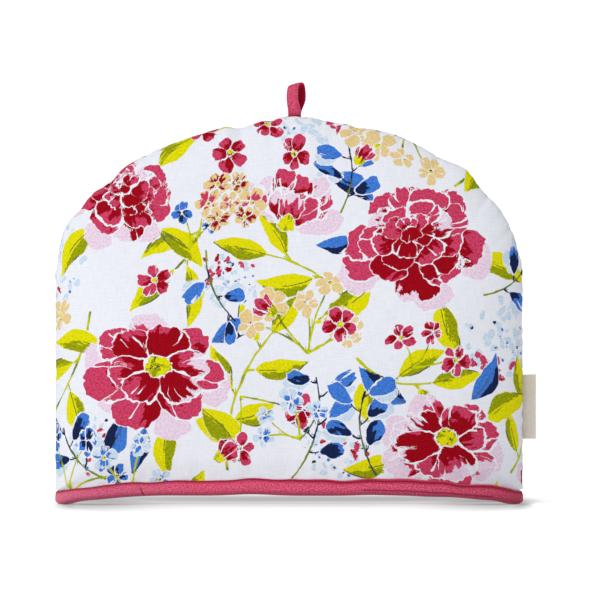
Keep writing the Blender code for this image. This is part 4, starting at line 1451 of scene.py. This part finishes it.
def loop_strip(across):
    """The strip's middle surface at distances across it: a teardrop, turned as it rises.

    The teardrop opens by a power of a sine times a power of the half turn's sine, so that its sides are
    nearly straight and its top is round.
    """
    turn = np.linspace(0, 2 * math.pi, LOOP_ROWS)
    tail = LOOP_THICKNESS / 2 + SEAM_GAP / 2
    spread = -LOOP_OPEN * rounded(np.sin(turn), 2 / 0.55) * np.sin(turn / 2) ** 0.5 - tail * np.cos(turn / 2)
    height = (LOOP_HEIGHT - LOOP_THICKNESS / 2) * (1 - np.cos(turn)) / 2
    down = np.linspace(-LOOP_TAIL, 0, TAIL_ROWS + 1)[:-1]
    spread = np.concatenate([np.full(TAIL_ROWS, -tail), spread, np.full(TAIL_ROWS, tail)])[:, None]
    height = np.concatenate([down, height, down[::-1]])[:, None]
    raised = smooth(height / (LOOP_HEIGHT / 2))
    angle = LOOP_TURN * raised
    crown = float(seam_point(np.array(math.pi / 2))[1]) + BINDING_HEIGHT
    return np.stack([
        LOOP_X + LOOP_LEAN * raised + across * np.cos(angle) + spread * np.sin(angle),
        spread * np.cos(angle) - across * np.sin(angle),
        crown + height + across * LOOP_SKEW * raised * height / LOOP_HEIGHT,
    ], axis=-1)


def loop_section():
    """Across and thickness: a superellipse, pinched where it is stitched."""
    turn = np.linspace(0, 2 * math.pi, LOOP_SIDES, endpoint=False)
    across = rounded(np.cos(turn), 7) * LOOP_WIDTH / 2
    pinch = 1 - 0.22 * bell((np.abs(across) - LOOP_WIDTH / 2 + EDGE_STITCH) / 0.0005)
    return across, rounded(np.sin(turn), 2.4) * LOOP_THICKNESS / 2 * pinch


# %% Build the loop
def tube(name, points, sharp_deg):
    """A tube with flat ends through rings of points, and each corner's ring and place in it."""
    rings, around = points.shape[:2]
    ring, place = np.divmod(grid_faces(rings, around + 1), around + 1)
    ends = np.arange(around) + np.array([[0], [(rings - 1) * around]])
    made = make_piece(name, points, (ring * around + place % around).tolist() + ends.tolist(), sharp_deg)
    return made, *np.divmod(corner_numbers(made.data), around)


def build_loop(name):
    """The section carried along the strip, each point moved off the middle surface along its normal."""
    across, thick = loop_section()
    middle, step = loop_strip(across[None]), 1e-5
    widthways = (loop_strip(across[None] + step) - middle) / step
    normal = np.cross(widthways, np.gradient(middle, axis=0))
    normal /= np.linalg.norm(normal, axis=-1, keepdims=True)
    length = running_length(middle.mean(axis=1))
    uneven = waves(length * 1000, (11.0, 7.3), 3) * smooth(length / 0.01)
    thick = thick * (1 + 0.10 * uneven[:, None])
    made, row, column = tube(name, middle + normal * thick[..., None], 70)
    add_map(made.data, "cloth", np.stack([across[column], length[row]], -1))
    centre = middle[middle[..., 2].mean(axis=1) > middle[..., 2].mean()].reshape(-1, 3).mean(axis=0)
    facing = np.sign((normal * (middle - centre)).sum(axis=-1))
    add_values(made.data, "inside", -facing * thick / (LOOP_THICKNESS / 2))
    return made, length[-1]


loop, loop_length = build_loop("strap_loop")
print(f"loop strip {loop_length * 1000:.0f} mm long")

# %% Pink loop cotton
loop_cotton, add, shader = new_material("edge_stitched_pink_cotton_strip")
in_mm = place_in_mm(add)
weave = weave_height(add, in_mm, 1.0)
mottle = add("TexNoise", in_mm, Scale=0.5, Detail=3.5, Roughness=0.75)
dyed = add("MapRange", mottle, 0.34, 0.66)
pink = add("Mix.RGBA", dyed, "#B93056", "#E36081")
pink = add("VectorMath.SCALE", pink, add("MapRange", weave, -1, 1, 0.90, 1))
split, line_mm = add("SeparateXYZ", in_mm), (LOOP_WIDTH / 2 - EDGE_STITCH) * 1000
off_line = add("Math.ABSOLUTE", add("Math.SUBTRACT", add("Math.ABSOLUTE", split.outputs["X"]), line_mm))
thread = stitch_dashes(add, off_line, split.outputs["Y"], 2.2, (0.32, 0.18), (0.42, 0.34))
sewn = add("Mix.RGBA", thread, pink, "#A82E52")
# Painted shade: the side of the strip that faces into the loop is painted a deep crimson, for the shade
# there and the pink reflected into it.
painted_shade_inside = add("MapRange", add("Attribute", attribute_name="inside").outputs["Fac"], -0.1, 0.3)
deep = add("Mix.RGBA", dyed, "#940024", "#B0062E")
fill_in(shader, {"Base Color": add("Mix.RGBA", painted_shade_inside, sewn, deep),
                 "Normal": add("Bump", Height=weave, Strength=0.45, Distance=0.0001),
                 "Roughness": 0.85, "Specular IOR Level": 0.12,
                 "Sheen Weight": 0.1, "Sheen Roughness": 0.45})
loop.data.materials.append(loop_cotton)
print("loop:", len(loop.data.polygons), "faces")

# %% [markdown]
# ## The side tape
#
# A short length of woven tape, doubled, is caught in the right side seam and sticks out 9 mm. It is left
# plain. Its two layers meet in a soft fold at the outer end. The section is a hairpin, and it is carried
# upwards with a slight curl towards the front, as a tape takes when it is handled.

# %% Build the tape
LABEL_REACH, LABEL_TAIL, TAPE_ROWS = 0.0093, 0.0087, 60
SLIT, FOLD_STEPS, STRAIGHT_STEPS = 0.00006, 11, 15      # half the gap between its layers, and its points
CURL, CURL_BACK = 0.0016, 0.0007                        # how far it curls forwards, and back between


def tape_section():
    """The doubled tape from above: out along the front layer, round the fold, back, and inside again."""
    half, inner, outer = LABEL_THICKNESS / 2, HALF_WIDTH - LABEL_TAIL, HALF_WIDTH + LABEL_REACH
    turn = np.linspace(-math.pi / 2, math.pi / 2, FOLD_STEPS)
    straight = np.linspace(0, 1, STRAIGHT_STEPS + 1)[:-1]
    fold = np.stack([outer - half + half * np.cos(turn), half * np.sin(turn)], -1)
    front = np.stack([inner + straight * (outer - half - inner), np.full(STRAIGHT_STEPS, -half)], -1)
    crease = np.array([(outer - half - 0.0001, SLIT), (outer - half - 0.0001, -SLIT)])
    inside = inner + straight * (outer - half - 0.0004 - inner)
    inside = np.stack([inside, np.full(STRAIGHT_STEPS, -SLIT)], -1)
    return np.concatenate([front, fold, (front * (1, -1))[::-1], (inside * (1, -1)), crease, inside[::-1]])


def build_tape(name):
    """The section at each height. It bends forward by a square of how far it stands out of the seam."""
    section, share = tape_section(), np.linspace(0, 1, TAPE_ROWS)[:, None]
    out = np.clip((section[:, 0] - HALF_WIDTH) / LABEL_REACH, 0, 1)[None]
    curl = CURL * out ** 2 * (0.4 + 0.6 * np.cos(share * math.pi) ** 2)
    curl = curl - CURL_BACK * out * np.sin(share * 5.3)
    thinner = 1 - 0.25 * (np.exp(-share / 0.012) + np.exp(-(1 - share) / 0.012))        # at its cut ends
    across = np.broadcast_to(section[:, 0], (TAPE_ROWS, len(section)))
    up = LABEL_BOTTOM + LABEL_LENGTH * share + 0.0004 * out * np.sin(share * 2.2)
    made, row, column = tube(name, np.stack([across, section[:, 1] * thinner - curl, up], -1), 60)
    length = running_length(section)
    add_map(made.data, "cloth", np.stack([length[column], row / (TAPE_ROWS - 1) * LABEL_LENGTH], -1))
    return made


tape = build_tape("plain_tape")
print("tape:", len(tape.data.polygons), "faces")

# %% Woven tape
# Cotton tape in a close rib weave. The ribs are 0.7 mm apart here, and finer on the real thing.
RIB_MM = 0.7
woven_tape, add, shader = new_material("unbleached_woven_cotton_tape")
in_mm = place_in_mm(add)
rib_turn = add("Math.MULTIPLY", add("SeparateXYZ", in_mm).outputs["X"], 2 * math.pi / RIB_MM)
rise = add("Math.MULTIPLY_ADD", add("Math.SINE", rib_turn), 0.6, weave_height(add, in_mm, 0.9))
yarn = add("Mix.RGBA", add("MapRange", rise, -1.6, 1.6), "#C6BDB0", "#E2DAD0")
aged = add("MapRange", add("TexNoise", in_mm, Scale=0.6, Detail=3.0), 0.3, 0.7, 0.92, 1.0)
fill_in(shader, {"Base Color": add("VectorMath.SCALE", yarn, aged),
                 "Normal": add("Bump", Height=rise, Strength=0.5, Distance=0.0001),
                 "Roughness": 0.85, "Specular IOR Level": 0.25})
tape.data.materials.append(woven_tape)

# %% [markdown]
# ## Into the frame
#
# Each piece stands in for one solid of the imported model and rides on the part's only body, and that
# solid is hidden. The panels are padded. The strip, the loop and the tape are flat cloth folded into place.

# %% Put the pieces in the frame
for piece, node, slot in ((front_panel, "front_panel", "printed_cotton"),
                          (back_panel, "back_panel", "printed_cotton"),
                          (binding, "hem_binding", "binding_cotton"),
                          (loop, "hanging_loop", "loop_cotton"),
                          (tape, "side_label", "label_tape")):
    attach(piece, "root")
    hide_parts(node)
